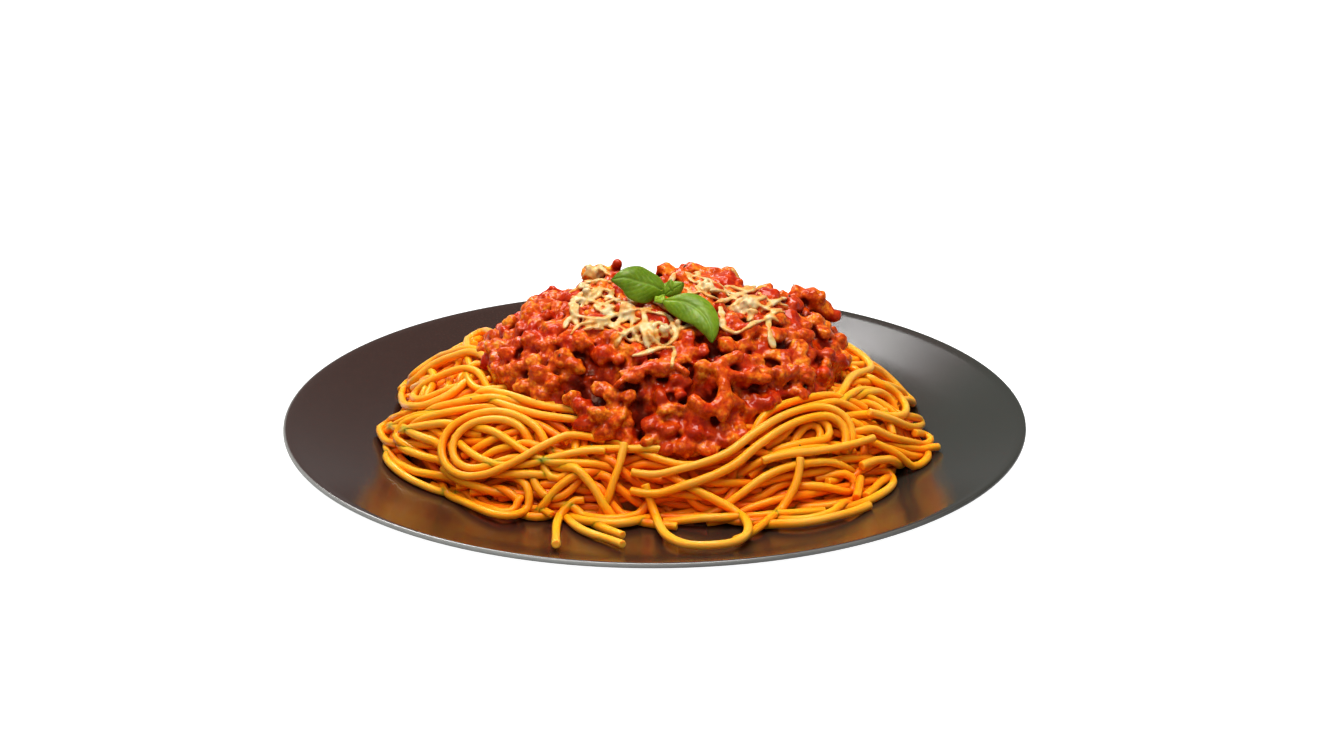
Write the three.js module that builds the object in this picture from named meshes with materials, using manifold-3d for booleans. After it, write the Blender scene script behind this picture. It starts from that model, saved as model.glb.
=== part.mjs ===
// Spaghetti bolognese on a dark coupe plate: a heap of noodles, a mound of mince in tomato sauce
// with grated cheese on it, and a sprig of basil. Millimetres, +Z up, the origin on the table under
// the middle of the plate. -Y is the side that the diner sees.
import * as THREE from "three";
import { mergeVertices } from "three/addons/utils/BufferGeometryUtils.js";
import Module from "manifold-3d";

const wasm = await Module();
wasm.setup();

// The plate
const PLATE_RADIUS = 130;
const PLATE_FLOOR = 6; // top of the flat middle above the table
const PLATE_RIM_RISE = 17.5; // from the flat middle up to the rim
const PLATE_FLAT_RADIUS = 70;
const PLATE_WALL = 3.2;
const FOOT_RADIUS = 76;
const FOOT_WIDTH = 5;
const FOOT_DEPTH = 1.6;
const PLATE_SIDES = 56;

// The heap of noodles, round its own middle, which lies a little behind that of the plate
const HEAP_MIDDLE_Y = 8;
const HEAP_HALF_WIDTH = 98;
const HEAP_HALF_DEPTH = 76;
const HEAP_SQUARENESS = 2.5; // 2 is a plain oval
const HEAP_HEIGHT = 46; // above the plate's floor
const HEAP_SHOULDER = 0.6; // steeper flanks with a smaller number
const CORE_REACH = 0.955; // the bare core's outline, as a share of the heap's
const CORE_EDGE = 1.2; // thickness of its rim
const CORE_RINGS = [8, 4]; // on its upper and its lower side
const SAUCE_RINGS = [7, 1];
const MOUND_SPOKES = 36; // round the core and round the sauce
const CORE_INSET = 2.2; // how far the core lies under the heap's outer noodles
const NOODLE = 2.9; // thickness of a cooked noodle
const NOODLE_SIDES = 5;
const NOODLE_STEPS = 22; // at most, along its length
const NOODLE_STEP = 4.6;
const NOODLE_STIFFNESS = 40; // more lets a noodle bridge wider dips
const NOODLE_SINK = 0.9; // how deep a noodle's underside lies in the core
const GAP = 0.3; // left between pieces that touch

// The mound of sauce and the mince in it
const SAUCE_RADIUS = 61;
const SAUCE_DEPTH = 13; // over the noodles, in the middle
const SAUCE_STEEPNESS = 0.7;
const SAUCE_EDGE = 2.5; // depth of the sauce at its edge
const SAUCE_ROUGHNESS = 1.2; // height of the bumps in it
const SAUCE_UNDERSIDE = 8; // above the plate's floor, within the core
const LUMP_COUNT = 22;
const LUMP_SMALL = 5; // half width of the mince's crumbs
const LUMP_LARGE = 8.5;

// The grated cheese
const SHRED_COUNT = 20;
const SHRED_WIDTH = 1.6;
const SHRED_THICK = 1.2;
const SHRED_SHORT = 9;
const SHRED_LONG = 17;
const CHEESE_MIDDLE = [-3, 2];
const CHEESE_REACH = [46, 36];

// The basil
const LEAF_THICK = 0.6;
const SPRIG_AT = [3.5, -13];
const SPRIG_TILT = 13; // degrees, down the front of the mound

const DEGREE = Math.PI / 180;
const GOLDEN_ANGLE = Math.PI * (3 - Math.sqrt(5));
const TABLE_DEPTH = -200; // far under the plate, where no surface is
const SLIVER = 0.1; // details smaller than this are left out where solids join

// Numbers from 0 to 1 that are the same on every run.
function seeded(seed) {
  let state = seed;
  return () => {
    state = (state + 0x6d2b79f5) | 0;
    let mixed = Math.imul(state ^ (state >>> 15), 1 | state);
    mixed = (mixed + Math.imul(mixed ^ (mixed >>> 7), 61 | mixed)) ^ mixed;
    return ((mixed ^ (mixed >>> 14)) >>> 0) / 4294967296;
  };
}

function between(random, low, high) {
  return low + (high - low) * random();
}

function toSolid(geometry) {
  const bare = new THREE.BufferGeometry().setAttribute("position", geometry.getAttribute("position"));
  if (geometry.index) bare.setIndex(geometry.index);
  const merged = mergeVertices(bare, 1e-4);
  return new wasm.Manifold(
    new wasm.Mesh({
      numProp: 3,
      vertProperties: new Float32Array(merged.attributes.position.array),
      triVerts: new Uint32Array(merged.index.array),
    }),
  );
}

function toGeometry(solid) {
  const mesh = solid.getMesh();
  const positions = new Float32Array(mesh.numVert * 3);
  for (let i = 0; i < mesh.numVert; i++) {
    positions.set(mesh.vertProperties.subarray(i * mesh.numProp, i * mesh.numProp + 3), i * 3);
  }
  const geometry = new THREE.BufferGeometry()
    .setAttribute("position", new THREE.BufferAttribute(positions, 3))
    .setIndex(new THREE.BufferAttribute(new Uint32Array(mesh.triVerts), 1));
  geometry.computeVertexNormals();
  return geometry;
}

// The largest body of a solid, without the scraps and slivers that cutting leaves.
function largestBody(solid) {
  const bodies = solid.simplify(SLIVER).decompose();
  return bodies.reduce((best, body) => (body.volume() > best.volume() ? body : best));
}

function overlaps(a, b) {
  return a.intersect(b).volume() > 0.001;
}

// Height of the plate's upper face at a distance from its middle.
function plateTop(radius) {
  if (radius > PLATE_RADIUS) return TABLE_DEPTH;
  const up = Math.max(0, radius - PLATE_FLAT_RADIUS) / (PLATE_RADIUS - PLATE_FLAT_RADIUS);
  return PLATE_FLOOR + PLATE_RIM_RISE * up * up;
}

function heapRadius(angle) {
  const across = Math.abs(Math.cos(angle)) / HEAP_HALF_WIDTH;
  const along = Math.abs(Math.sin(angle)) / HEAP_HALF_DEPTH;
  return (across ** HEAP_SQUARENESS + along ** HEAP_SQUARENESS) ** (-1 / HEAP_SQUARENESS);
}

// The sauce reaches furthest to the right, and least far at the back and over the four quarters.
function sauceRadius(angle) {
  const lean = 3 * Math.cos(angle) - 3.5 * Math.sin(angle);
  const sides = 3 * Math.cos(2 * angle) + 2 * Math.cos(4 * angle);
  return SAUCE_RADIUS + lean + sides + 1.2 * Math.sin(7 * angle);
}

// Where a point of the plan lies: 0 in the middle of an outline and 1 on it.
function shareOut(x, y, outline) {
  const angle = Math.atan2(y - HEAP_MIDDLE_Y, x);
  return Math.hypot(x, y - HEAP_MIDDLE_Y) / outline(angle);
}

function dome(share, power, shoulder) {
  return share >= 1 ? 0 : (1 - share ** power) ** shoulder;
}

// The bare core's top: the heap's, less the outer noodles.
function coreTop(x, y) {
  const share = shareOut(x, y, heapRadius) / CORE_REACH;
  return PLATE_FLOOR + (HEAP_HEIGHT - CORE_INSET) * dome(share, 2, HEAP_SHOULDER);
}

// The sauce's top before its lumps: highest on the right-hand shoulder, as it was ladled on.
function sauceTop(x, y) {
  const depth = SAUCE_DEPTH * dome(shareOut(x, y, sauceRadius), 4, SAUCE_STEEPNESS);
  const shoulder = 4 * Math.exp(-((x - 52) ** 2 + (y - 8) ** 2) / 400);
  const bumps = SAUCE_ROUGHNESS * (Math.sin(0.42 * x + 1.3 * Math.sin(0.2 * y)) + Math.cos(0.39 * y + 0.1 * x));
  return coreTop(x, y) + SAUCE_EDGE + depth + shoulder + bumps;
}

// A closed shell over an outline round the heap's middle, between an upper and a lower surface,
// each with its own number of rings.
function mound(outline, surfaces, rings, spokes) {
  const positions = surfaces.flatMap((surface) => [0, HEAP_MIDDLE_Y, surface(0, HEAP_MIDDLE_Y)]);
  surfaces.forEach((surface, layer) => {
    for (let ring = 1; ring <= rings[layer]; ring++) {
      for (let spoke = 0; spoke < spokes; spoke++) {
        const angle = (2 * Math.PI * spoke) / spokes;
        const radius = outline(angle) * Math.sin((Math.PI / 2) * (ring / rings[layer]));
        const x = radius * Math.cos(angle);
        const y = HEAP_MIDDLE_Y + radius * Math.sin(angle);
        positions.push(x, y, surface(x, y));
      }
    }
  });
  const at = (layer, ring, spoke) => 2 + (layer * rings[0] + ring - 1) * spokes + (spoke % spokes);
  const faces = [];
  const band = (layer, ring, spoke) => {
    const inner = [at(layer, ring, spoke), at(layer, ring, spoke + 1)];
    const outer = [at(layer, ring + 1, spoke), at(layer, ring + 1, spoke + 1)];
    if (layer === 0) faces.push(inner[0], outer[0], outer[1], inner[0], outer[1], inner[1]);
    else faces.push(inner[0], outer[1], outer[0], inner[0], inner[1], outer[1]);
  };
  for (let spoke = 0; spoke < spokes; spoke++) {
    const next = spoke + 1;
    faces.push(0, at(0, 1, spoke), at(0, 1, next), 1, at(1, 1, next), at(1, 1, spoke));
    for (const layer of [0, 1]) {
      for (let ring = 1; ring < rings[layer]; ring++) band(layer, ring, spoke);
    }
    faces.push(at(0, rings[0], spoke), at(1, rings[1], spoke), at(1, rings[1], next));
    faces.push(at(0, rings[0], spoke), at(1, rings[1], next), at(0, rings[0], next));
  }
  return new THREE.BufferGeometry()
    .setAttribute("position", new THREE.BufferAttribute(new Float32Array(positions), 3))
    .setIndex(faces);
}

// The plate: a shallow coupe with a rounded lip and a foot ring.
function plateGeometry() {
  const lip = PLATE_WALL / 2;
  const lipRadius = PLATE_RADIUS - lip;
  const lipHeight = plateTop(lipRadius) - lip;
  const upper = [0, PLATE_FLAT_RADIUS, 80, 90, 100, 114, lipRadius - 0.6].map(
    (radius) => new THREE.Vector2(radius, plateTop(radius)),
  );
  const rounded = [40, 0, -40, -80].map(
    (turn) =>
      new THREE.Vector2(
        lipRadius + lip * Math.cos(turn * DEGREE),
        lipHeight + lip * Math.sin(turn * DEGREE),
      ),
  );
  const under = [114, 98, 84].map(
    (radius) => new THREE.Vector2(radius, plateTop(radius) - PLATE_WALL),
  );
  const foot = [
    new THREE.Vector2(FOOT_RADIUS + 1, 1.2),
    new THREE.Vector2(FOOT_RADIUS, 0),
    new THREE.Vector2(FOOT_RADIUS - FOOT_WIDTH, 0),
    new THREE.Vector2(FOOT_RADIUS - FOOT_WIDTH - 1.4, FOOT_DEPTH),
    new THREE.Vector2(0, FOOT_DEPTH),
  ];
  const profile = [...upper, ...rounded, ...under, ...foot].reverse();
  return new THREE.LatheGeometry(profile, PLATE_SIDES).rotateX(Math.PI / 2);
}

// What lies under the next strand, as a grid of heights that each strand raises.
class Pile {
  constructor(ground) {
    this.cell = 1;
    this.half = PLATE_RADIUS;
    this.side = 2 * this.half + 1;
    this.top = new Float32Array(this.side * this.side);
    for (let row = 0; row < this.side; row++) {
      for (let column = 0; column < this.side; column++) {
        this.top[row * this.side + column] = ground(column - this.half, row - this.half);
      }
    }
  }

  // Calls back with each cell under a strand's footprint and the strand's half height there.
  footprint(x, y, radius, each) {
    for (let row = Math.ceil(y - radius); row <= y + radius; row++) {
      for (let column = Math.ceil(x - radius); column <= x + radius; column++) {
        const away = (row - y) ** 2 + (column - x) ** 2;
        if (away > radius * radius || Math.abs(row) > this.half || Math.abs(column) > this.half) continue;
        each((row + this.half) * this.side + column + this.half, Math.sqrt(radius * radius - away));
      }
    }
  }

  // The lowest that a strand's axis can be at (x, y).
  restHeight(x, y, radius) {
    let height = TABLE_DEPTH;
    this.footprint(x, y, radius, (index, half) => {
      height = Math.max(height, this.top[index] + half);
    });
    return height;
  }

  add(points, radius) {
    for (const point of points) {
      this.footprint(point.x, point.y, radius, (index, half) => {
        this.top[index] = Math.max(this.top[index], point.z + half);
      });
    }
  }
}

// A strand's line lies on the pile, and is too stiff to follow each dip.
function drape(plan, pile, radius, stiffness) {
  const need = plan.map((point) => pile.restHeight(point.x, point.y, radius));
  let height = [...need];
  for (let pass = 0; pass < stiffness; pass++) {
    height = height.map((own, i) => {
      if (i === 0 || i === height.length - 1) return own;
      return Math.max(need[i], (height[i - 1] + own + height[i + 1]) / 3);
    });
  }
  return plan.map((point, i) => new THREE.Vector3(point.x, point.y, height[i]));
}

// The plan of a strand that makes a turn: part of an oval, with tails that run on from its ends.
function turnPlan({ at, size, turn, from, sweep, tail }) {
  const onOval = (angle) => {
    const along = size[0] * Math.cos(angle * DEGREE);
    const across = size[1] * Math.sin(angle * DEGREE);
    const cos = Math.cos(turn * DEGREE);
    const sin = Math.sin(turn * DEGREE);
    return new THREE.Vector2(at[0] + along * cos - across * sin, at[1] + along * sin + across * cos);
  };
  const arc = Array.from({ length: 25 }, (_, i) => onOval(from + (sweep * i) / 24));
  const runOn = (end, before) => {
    const way = end.clone().sub(before).normalize();
    return [0.5, 1].map((share) => end.clone().addScaledVector(way, tail * share));
  };
  const head = runOn(arc[0], arc[1]).reverse();
  const foot = runOn(arc.at(-1), arc.at(-2));
  const line = [...head, ...arc, ...foot].map((point) => new THREE.Vector3(point.x, point.y, 0));
  return new THREE.CatmullRomCurve3(line).getSpacedPoints(90);
}

// Loose turns of noodle that stand out of the heap: where, how large, which way they point and
// which part of the oval shows, in millimetres and degrees.
const TURNS = [
  { at: [-46, -45], size: [27, 9], turn: -8, from: 12, sweep: 336, tail: 6 }, // wide oval, front left
  { at: [-55, -57], size: [15, 5.5], turn: -32, from: 60, sweep: 250, tail: 8 }, // under it, at the foot
  { at: [-35, -58], size: [20, 9], turn: 12, from: 190, sweep: 150, tail: 10 },
  { at: [14.5, -78], size: [15, 14.5], turn: 0, from: 118, sweep: 290, tail: 8 }, // on the plate, in front
  { at: [32, -64], size: [16, 12], turn: 38, from: -100, sweep: 120, tail: 12 },
  { at: [50, -44], size: [13, 8], turn: -12, from: -60, sweep: 290, tail: 8 }, // swirl, front right
  { at: [68, -56], size: [12, 10], turn: 8, from: -120, sweep: 200, tail: 12 }, // hoop, right
  { at: [84, -22], size: [18, 4.5], turn: 42, from: -150, sweep: 300, tail: 8 }, // the right tip
  { at: [80, -7], size: [20, 9], turn: 46, from: -130, sweep: 260, tail: 8 },
  { at: [-82, -16], size: [20, 5], turn: 131, from: -140, sweep: 280, tail: 8 }, // the left tip
  { at: [-78, 14], size: [26, 10], turn: 122, from: -130, sweep: 260, tail: 8 },
  { at: [-8, -66], size: [22, 10], turn: 6, from: 200, sweep: 130, tail: 12 },
];

// Turns round the back, spread evenly, and strands that run along the foot of the heap.
function hiddenSideTurns() {
  const random = seeded(11);
  const count = 5;
  const turns = Array.from({ length: count }, (_, i) => {
    const angle = 22 + (136 * i) / (count - 1) + between(random, -6, 6);
    const out = heapRadius(angle * DEGREE) * 0.82;
    return {
      at: [out * Math.cos(angle * DEGREE), HEAP_MIDDLE_Y + out * Math.sin(angle * DEGREE)],
      size: [between(random, 13, 16), between(random, 6, 10)],
      turn: angle + between(random, -35, 35),
      from: -120,
      sweep: 240,
      tail: 8,
    };
  });
  const wraps = [20, 68, 116, 160, 220].map((angle, i) => ({
    at: [0, HEAP_MIDDLE_Y],
    size: [HEAP_HALF_WIDTH * (0.86 + 0.05 * (i % 2)), HEAP_HALF_DEPTH * (0.86 + 0.05 * (i % 2))],
    turn: 0,
    from: angle,
    sweep: 44,
    tail: 6,
  }));
  return [...turns, ...wraps];
}

function noodleSolid(points) {
  const section = new THREE.Shape(
    Array.from({ length: NOODLE_SIDES }, (_, i) => {
      const angle = (2 * Math.PI * i) / NOODLE_SIDES;
      return new THREE.Vector2((NOODLE / 2) * Math.cos(angle), (NOODLE / 2) * Math.sin(angle));
    }),
  );
  const length = points.reduce((sum, point, i) => sum + (i ? point.distanceTo(points[i - 1]) : 0), 0);
  const steps = Math.max(6, Math.min(NOODLE_STEPS, Math.round(length / NOODLE_STEP)));
  return toSolid(
    new THREE.ExtrudeGeometry(section, {
      steps,
      bevelEnabled: false,
      extrudePath: new THREE.CatmullRomCurve3(points),
    }),
  );
}

// A noodle is shortened, a little at a time, until it is clear of the plate and the sauce.
function clearNoodle(points, others) {
  let line = points;
  while (line.length > 24) {
    const solid = noodleSolid(line);
    if (!others.some((other) => overlaps(solid, other))) return solid;
    line = line.slice(3, -3);
  }
  return null;
}

function noodles(core, plate, sauce) {
  const ground = (x, y) => Math.max(coreTop(x, y) - NOODLE_SINK, plateTop(Math.hypot(x, y)) + GAP);
  const pile = new Pile(ground);
  const grown = sauce.translate(0, 0, -GAP).add(sauce);
  const made = [];
  for (const turn of [...hiddenSideTurns(), ...TURNS]) {
    const inSauce = (point) => shareOut(point.x, point.y, sauceRadius) < 1.03;
    const outside = longestRun(turnPlan(turn), (point) => !inSauce(point));
    if (outside.length < 24) continue;
    const line = drape(outside, pile, NOODLE / 2, NOODLE_STIFFNESS);
    const solid = clearNoodle(line, [plate, grown]);
    if (!solid) continue;
    pile.add(line, NOODLE / 2);
    made.push(solid);
  }
  return largestBody(wasm.Manifold.union([core, ...made]));
}

// The longest unbroken run of points that pass a test.
function longestRun(points, test) {
  let best = [];
  let run = [];
  for (const point of points) {
    run = test(point) ? [...run, point] : [];
    if (run.length > best.length) best = run;
  }
  return best;
}

// A crumb of mince: an uneven ball, pulled out of round and knobbly.
function lumpSolid(random, half) {
  const geometry = mergeVertices(
    new THREE.IcosahedronGeometry(half, 1).deleteAttribute("normal").deleteAttribute("uv"),
    1e-4,
  );
  const position = geometry.getAttribute("position");
  for (let i = 0; i < position.count; i++) {
    const swell = between(random, 0.78, 1.16);
    position.setXYZ(i, position.getX(i) * swell, position.getY(i) * swell, position.getZ(i) * swell);
  }
  geometry.scale(between(random, 0.85, 1.35), between(random, 0.8, 1.1), between(random, 0.7, 0.95));
  geometry.rotateZ(between(random, 0, Math.PI)).rotateX(between(random, -0.5, 0.5));
  return toSolid(geometry);
}

// Crumbs spread evenly over the sauce by the golden angle, half sunk in it.
function lumps() {
  const random = seeded(5);
  return Array.from({ length: LUMP_COUNT }, (_, i) => {
    const angle = i * GOLDEN_ANGLE;
    const half = between(random, LUMP_SMALL, LUMP_LARGE);
    const reach = sauceRadius(angle) - half * 1.05;
    const radius = reach * Math.sqrt((i + 0.5) / LUMP_COUNT);
    const x = radius * Math.cos(angle);
    const y = HEAP_MIDDLE_Y + radius * Math.sin(angle);
    return lumpSolid(random, half).translate(x, y, sauceTop(x, y) - half * 0.35);
  });
}

// The height of a solid's top at (x, y), looking down on it.
function topOf(mesh, x, y) {
  const above = new THREE.Vector3(x, y, 200);
  const found = new THREE.Raycaster(above, new THREE.Vector3(0, 0, -1)).intersectObject(mesh);
  return found.length ? found[0].point.z : TABLE_DEPTH;
}

function shredSolid(mesh, x, y, heading, length, bend) {
  const points = [-1, -0.33, 0.33, 1].map((share) => {
    const along = (share * length) / 2;
    const aside = bend * (1 - share * share);
    const px = x + along * Math.cos(heading) - aside * Math.sin(heading);
    const py = y + along * Math.sin(heading) + aside * Math.cos(heading);
    return new THREE.Vector3(px, py, topOf(mesh, px, py) + SHRED_THICK * 0.2);
  });
  const section = new THREE.Shape([
    new THREE.Vector2(-SHRED_THICK / 2, -SHRED_WIDTH / 2),
    new THREE.Vector2(SHRED_THICK / 2, -SHRED_WIDTH / 2),
    new THREE.Vector2(SHRED_THICK / 2, SHRED_WIDTH / 2),
    new THREE.Vector2(-SHRED_THICK / 2, SHRED_WIDTH / 2),
  ]);
  const extrudePath = new THREE.CatmullRomCurve3(points);
  return toSolid(new THREE.ExtrudeGeometry(section, { steps: 3, bevelEnabled: false, extrudePath }));
}

// Grated cheese, scattered over the top of the mound and fused to it.
function shreds(mesh) {
  const random = seeded(23);
  return Array.from({ length: SHRED_COUNT }, (_, i) => {
    const angle = i * GOLDEN_ANGLE;
    const out = Math.sqrt((i + 0.5) / SHRED_COUNT);
    const x = CHEESE_MIDDLE[0] + CHEESE_REACH[0] * out * Math.cos(angle) + between(random, -3, 3);
    const y = CHEESE_MIDDLE[1] + CHEESE_REACH[1] * out * Math.sin(angle) + between(random, -3, 3);
    const length = between(random, SHRED_SHORT, SHRED_LONG);
    return shredSolid(mesh, x, y, between(random, 0, Math.PI), length, between(random, -2.5, 2.5));
  });
}

// The sauce without its lumps, hollowed underneath to sit on the core of the heap.
function sauceMound(core) {
  const low = () => PLATE_FLOOR + SAUCE_UNDERSIDE;
  return toSolid(mound(sauceRadius, [sauceTop, low], SAUCE_RINGS, MOUND_SPOKES)).subtract(core);
}

// All that was ladled on: the sauce, its lumps and the cheese, clear of the core by the gap.
function sauceSolid(core) {
  const sunk = core.translate(0, 0, GAP);
  const mince = wasm.Manifold.union([sauceMound(sunk), ...lumps()]).subtract(sunk);
  const mesh = new THREE.Mesh(toGeometry(mince));
  mesh.updateMatrixWorld();
  return largestBody(wasm.Manifold.union([mince, ...shreds(mesh)]).subtract(sunk));
}

// A basil leaf: pointed, folded along its midrib, arched and curled over at the tip.
function leafSolid({ length, width, arch, fold, columns, rows }) {
  const positions = [];
  const half = (share) => (width / 2) * Math.sin(Math.PI * share ** 0.8) ** 0.8 + 0.25;
  for (const side of [1, -1]) {
    for (let row = 0; row <= rows; row++) {
      const share = row / rows;
      for (let column = 0; column <= columns; column++) {
        const out = (2 * column) / columns - 1;
        const y = out * half(share);
        const cup = -fold * out * out * half(share) + 0.35 * Math.sin(9 * share + 2 * out);
        const bow = arch * Math.sin(Math.PI * share * 0.62) - arch * 1.1 * share ** 3;
        positions.push(length * share, y, bow + cup + (side * LEAF_THICK) / 2);
      }
    }
  }
  const at = (layer, row, column) => layer * (rows + 1) * (columns + 1) + row * (columns + 1) + column;
  const faces = [];
  const quad = (a, b, c, d) => faces.push(a, b, c, a, c, d);
  for (let row = 0; row < rows; row++) {
    for (let column = 0; column < columns; column++) {
      quad(at(0, row, column), at(0, row + 1, column), at(0, row + 1, column + 1), at(0, row, column + 1));
      const [a, b] = [at(1, row, column), at(1, row + 1, column)];
      const [c, d] = [at(1, row + 1, column + 1), at(1, row, column + 1)];
      faces.push(a, c, b, a, d, c);
    }
    quad(at(0, row, 0), at(1, row, 0), at(1, row + 1, 0), at(0, row + 1, 0));
    quad(at(0, row + 1, columns), at(1, row + 1, columns), at(1, row, columns), at(0, row, columns));
  }
  for (let column = 0; column < columns; column++) {
    quad(at(0, 0, column + 1), at(1, 0, column + 1), at(1, 0, column), at(0, 0, column));
    quad(at(0, rows, column), at(1, rows, column), at(1, rows, column + 1), at(0, rows, column + 1));
  }
  return toSolid(
    new THREE.BufferGeometry()
      .setAttribute("position", new THREE.BufferAttribute(new Float32Array(positions), 3))
      .setIndex(faces),
  );
}

// The leaves of the sprig: size, the way they point, and how far they lift and roll.
const LEAVES = [
  { length: 20, width: 14, arch: 4.5, fold: 0.42, columns: 4, rows: 7, heading: 166, pitch: -3, roll: -16 },
  { length: 21, width: 13, arch: 5, fold: 0.4, columns: 4, rows: 7, heading: -48, pitch: 20, roll: -10 },
  { length: 9, width: 6.5, arch: 2.2, fold: 0.45, columns: 2, rows: 4, heading: 38, pitch: -26, roll: 10 },
  { length: 8, width: 6, arch: 2, fold: 0.45, columns: 2, rows: 4, heading: 92, pitch: -30, roll: 0 },
];

function sprigSolid() {
  const leaves = LEAVES.map((leaf) =>
    leafSolid(leaf).rotate(leaf.roll, leaf.pitch, 0).rotate(0, 0, leaf.heading),
  );
  const stem = toSolid(new THREE.CylinderGeometry(0.9, 1.1, 5, 8).rotateX(Math.PI / 2)).translate(0, 0, -1.4);
  return largestBody(wasm.Manifold.union([stem, ...leaves])).rotate(SPRIG_TILT, 0, 0);
}

// The sprig is set down on the mound: lowered until it would touch, less the gap.
function placedSprig(mince) {
  const step = 0.25;
  const sprig = sprigSolid().translate(SPRIG_AT[0], SPRIG_AT[1], 0);
  let height = 2 * (PLATE_FLOOR + HEAP_HEIGHT);
  while (!overlaps(sprig.translate(0, 0, height - step - GAP), mince)) height -= step;
  return sprig.translate(0, 0, height);
}

function material(color, roughness) {
  return new THREE.MeshStandardMaterial({ color, roughness, metalness: 0 });
}

function piece(name, solid, finish) {
  const mesh = new THREE.Mesh(toGeometry(solid), finish);
  mesh.name = name;
  return mesh;
}

const plate = toSolid(plateGeometry());
const bed = (x, y) => plateTop(Math.hypot(x, y)) + GAP;
const coreOutline = (angle) => CORE_REACH * heapRadius(angle);
const coreSkin = (x, y) => Math.max(coreTop(x, y), bed(x, y) + CORE_EDGE);
const core = toSolid(mound(coreOutline, [coreSkin, bed], CORE_RINGS, MOUND_SPOKES));
const mince = sauceSolid(core);
const spaghetti = noodles(core, plate, mince);
const sprig = placedSprig(mince);

const dish = new THREE.Group();
dish.add(
  piece("plate", plate, material(0x3a3836, 0.35)),
  piece("spaghetti", spaghetti, material(0xe09a32, 0.4)),
  piece("meat_sauce", mince, material(0xb8401a, 0.3)),
  piece("basil_sprig", sprig, material(0x4f8a2c, 0.45)),
);

export default dish;
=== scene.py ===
"""Dresses the plate of spaghetti bolognese: plate, noodles, meat sauce, cheese and basil.

Lengths in the code are millimetres, and become metres where a mesh is made. +Z is up and -Y is the
front, towards the camera. Picture positions are pixels of the photograph, 1332 by 746.
"""

import math

import bpy
import numpy as np
from bpy.props import FloatProperty, FloatVectorProperty, IntProperty, PointerProperty
from mathutils import Matrix, Vector, noise
from mathutils.bvhtree import BVHTree
from mathutils.kdtree import KDTree


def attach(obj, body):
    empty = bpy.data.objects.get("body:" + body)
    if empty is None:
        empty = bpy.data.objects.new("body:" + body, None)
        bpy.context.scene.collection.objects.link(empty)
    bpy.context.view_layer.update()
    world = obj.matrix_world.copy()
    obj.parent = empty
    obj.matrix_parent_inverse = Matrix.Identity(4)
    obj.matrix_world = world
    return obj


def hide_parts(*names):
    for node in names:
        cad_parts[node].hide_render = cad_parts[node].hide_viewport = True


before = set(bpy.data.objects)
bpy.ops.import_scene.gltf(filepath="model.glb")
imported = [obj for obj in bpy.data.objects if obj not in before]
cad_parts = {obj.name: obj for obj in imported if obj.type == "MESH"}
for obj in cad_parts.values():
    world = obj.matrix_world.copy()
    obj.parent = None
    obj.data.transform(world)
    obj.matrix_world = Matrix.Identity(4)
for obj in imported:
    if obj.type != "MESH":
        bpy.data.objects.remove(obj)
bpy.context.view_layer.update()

bl_info = {
    "name": "Spaghetti Bolognese",
    "version": (1, 0, 0),
    "blender": (4, 5, 0),
    "location": "View3D > Sidebar > Dish",
    "description": "Makes a plate of spaghetti bolognese with grated cheese and basil",
    "category": "Add Mesh",
}

BODY = "root"
METRES = 0.001  # one millimetre
DEGREE = math.pi / 180
GOLDEN_ANGLE = math.pi * (3 - math.sqrt(5))

# The plate's upper face, as the solids have it
PLATE_RADIUS = 130.0
PLATE_FLOOR = 6.0
PLATE_RIM_RISE = 17.5
PLATE_FLAT_RADIUS = 70.0
PLATE_WALL = 3.2

# The shown rim: its outer radius, and how far its last part drops below the curve
RIM_RADIUS = 130.5
RIM_FLATTER_FROM = 112.0
RIM_DROP = 1.5

# The heap of noodles and the mound of sauce, round a middle a little behind that of the plate
HEAP_MIDDLE_Y = 8.0
HEAP_HALF_WIDTH = 98.0
HEAP_HALF_DEPTH = 76.0
HEAP_SQUARENESS = 2.5
HEAP_HEIGHT = 46.0
HEAP_SHOULDER = 0.6
SAUCE_RADIUS = 61.0
SAUCE_DEPTH = 10.5
SAUCE_SINK = 1.9  # how much lower the thin sauce between the lumps stands
FOOT_SINK = 7.0  # how deep the sauce runs under the noodles below its shown foot

# How deep the loose noodles go, and how stiff one is over a few of its points: (points, pull)
NOODLE_LAYER = 9.0
NOODLE_STIFFNESS = ((1, 0.3), (3, 0.2), (7, 0.12))
DIVE_LENGTH = 12.0
DIVE_DEPTH = 4.5

# The camera: 50 mm lens, 660 mm from the middle of the plate's rim
PHOTO_SIZE = (1332, 746)
LENS = 49.91
SENSOR = 36.0
CAMERA_AT = (0.0, -615.56, 259.09)
CAMERA_FORWARD = (0.00599, 0.93873, -0.3446)
PIXELS_PER_MM = 2.84  # at the heap

# Where a pixel's ray is tried, in millimetres from the camera
RAY_NEAR = 430.0
RAY_FAR = 800.0
RAY_STEP = 0.5

# How the noodles settle: lengths in millimetres, and shares of a fault that one round takes out
NOODLE_STEP = 1.5
REGROUP_ROUNDS = 8  # after so many rounds the near pairs are found again
REGROUP_MARGIN = 1.2
SINK_STEP = 0.06
TOUCHING = 0.97  # share of the thickness between the middles of two that touch
PUSH_GAIN = 1.3
LENGTH_PULL = 0.45
LIFT_PULL = 0.15
SHOWN_LIFT_PULL = 0.04
RAY_PULL = 0.25

# The sauce's bed: how far it lies under the heap's top, and its rise on the right
SAUCE_BED_INSET = 2.2
SHOULDER_RISE = 3.0
SHOULDER_X = 50
SHOULDER_Y = 6
SHOULDER_AREA = 400  # square millimetres over which the rise fades

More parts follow.
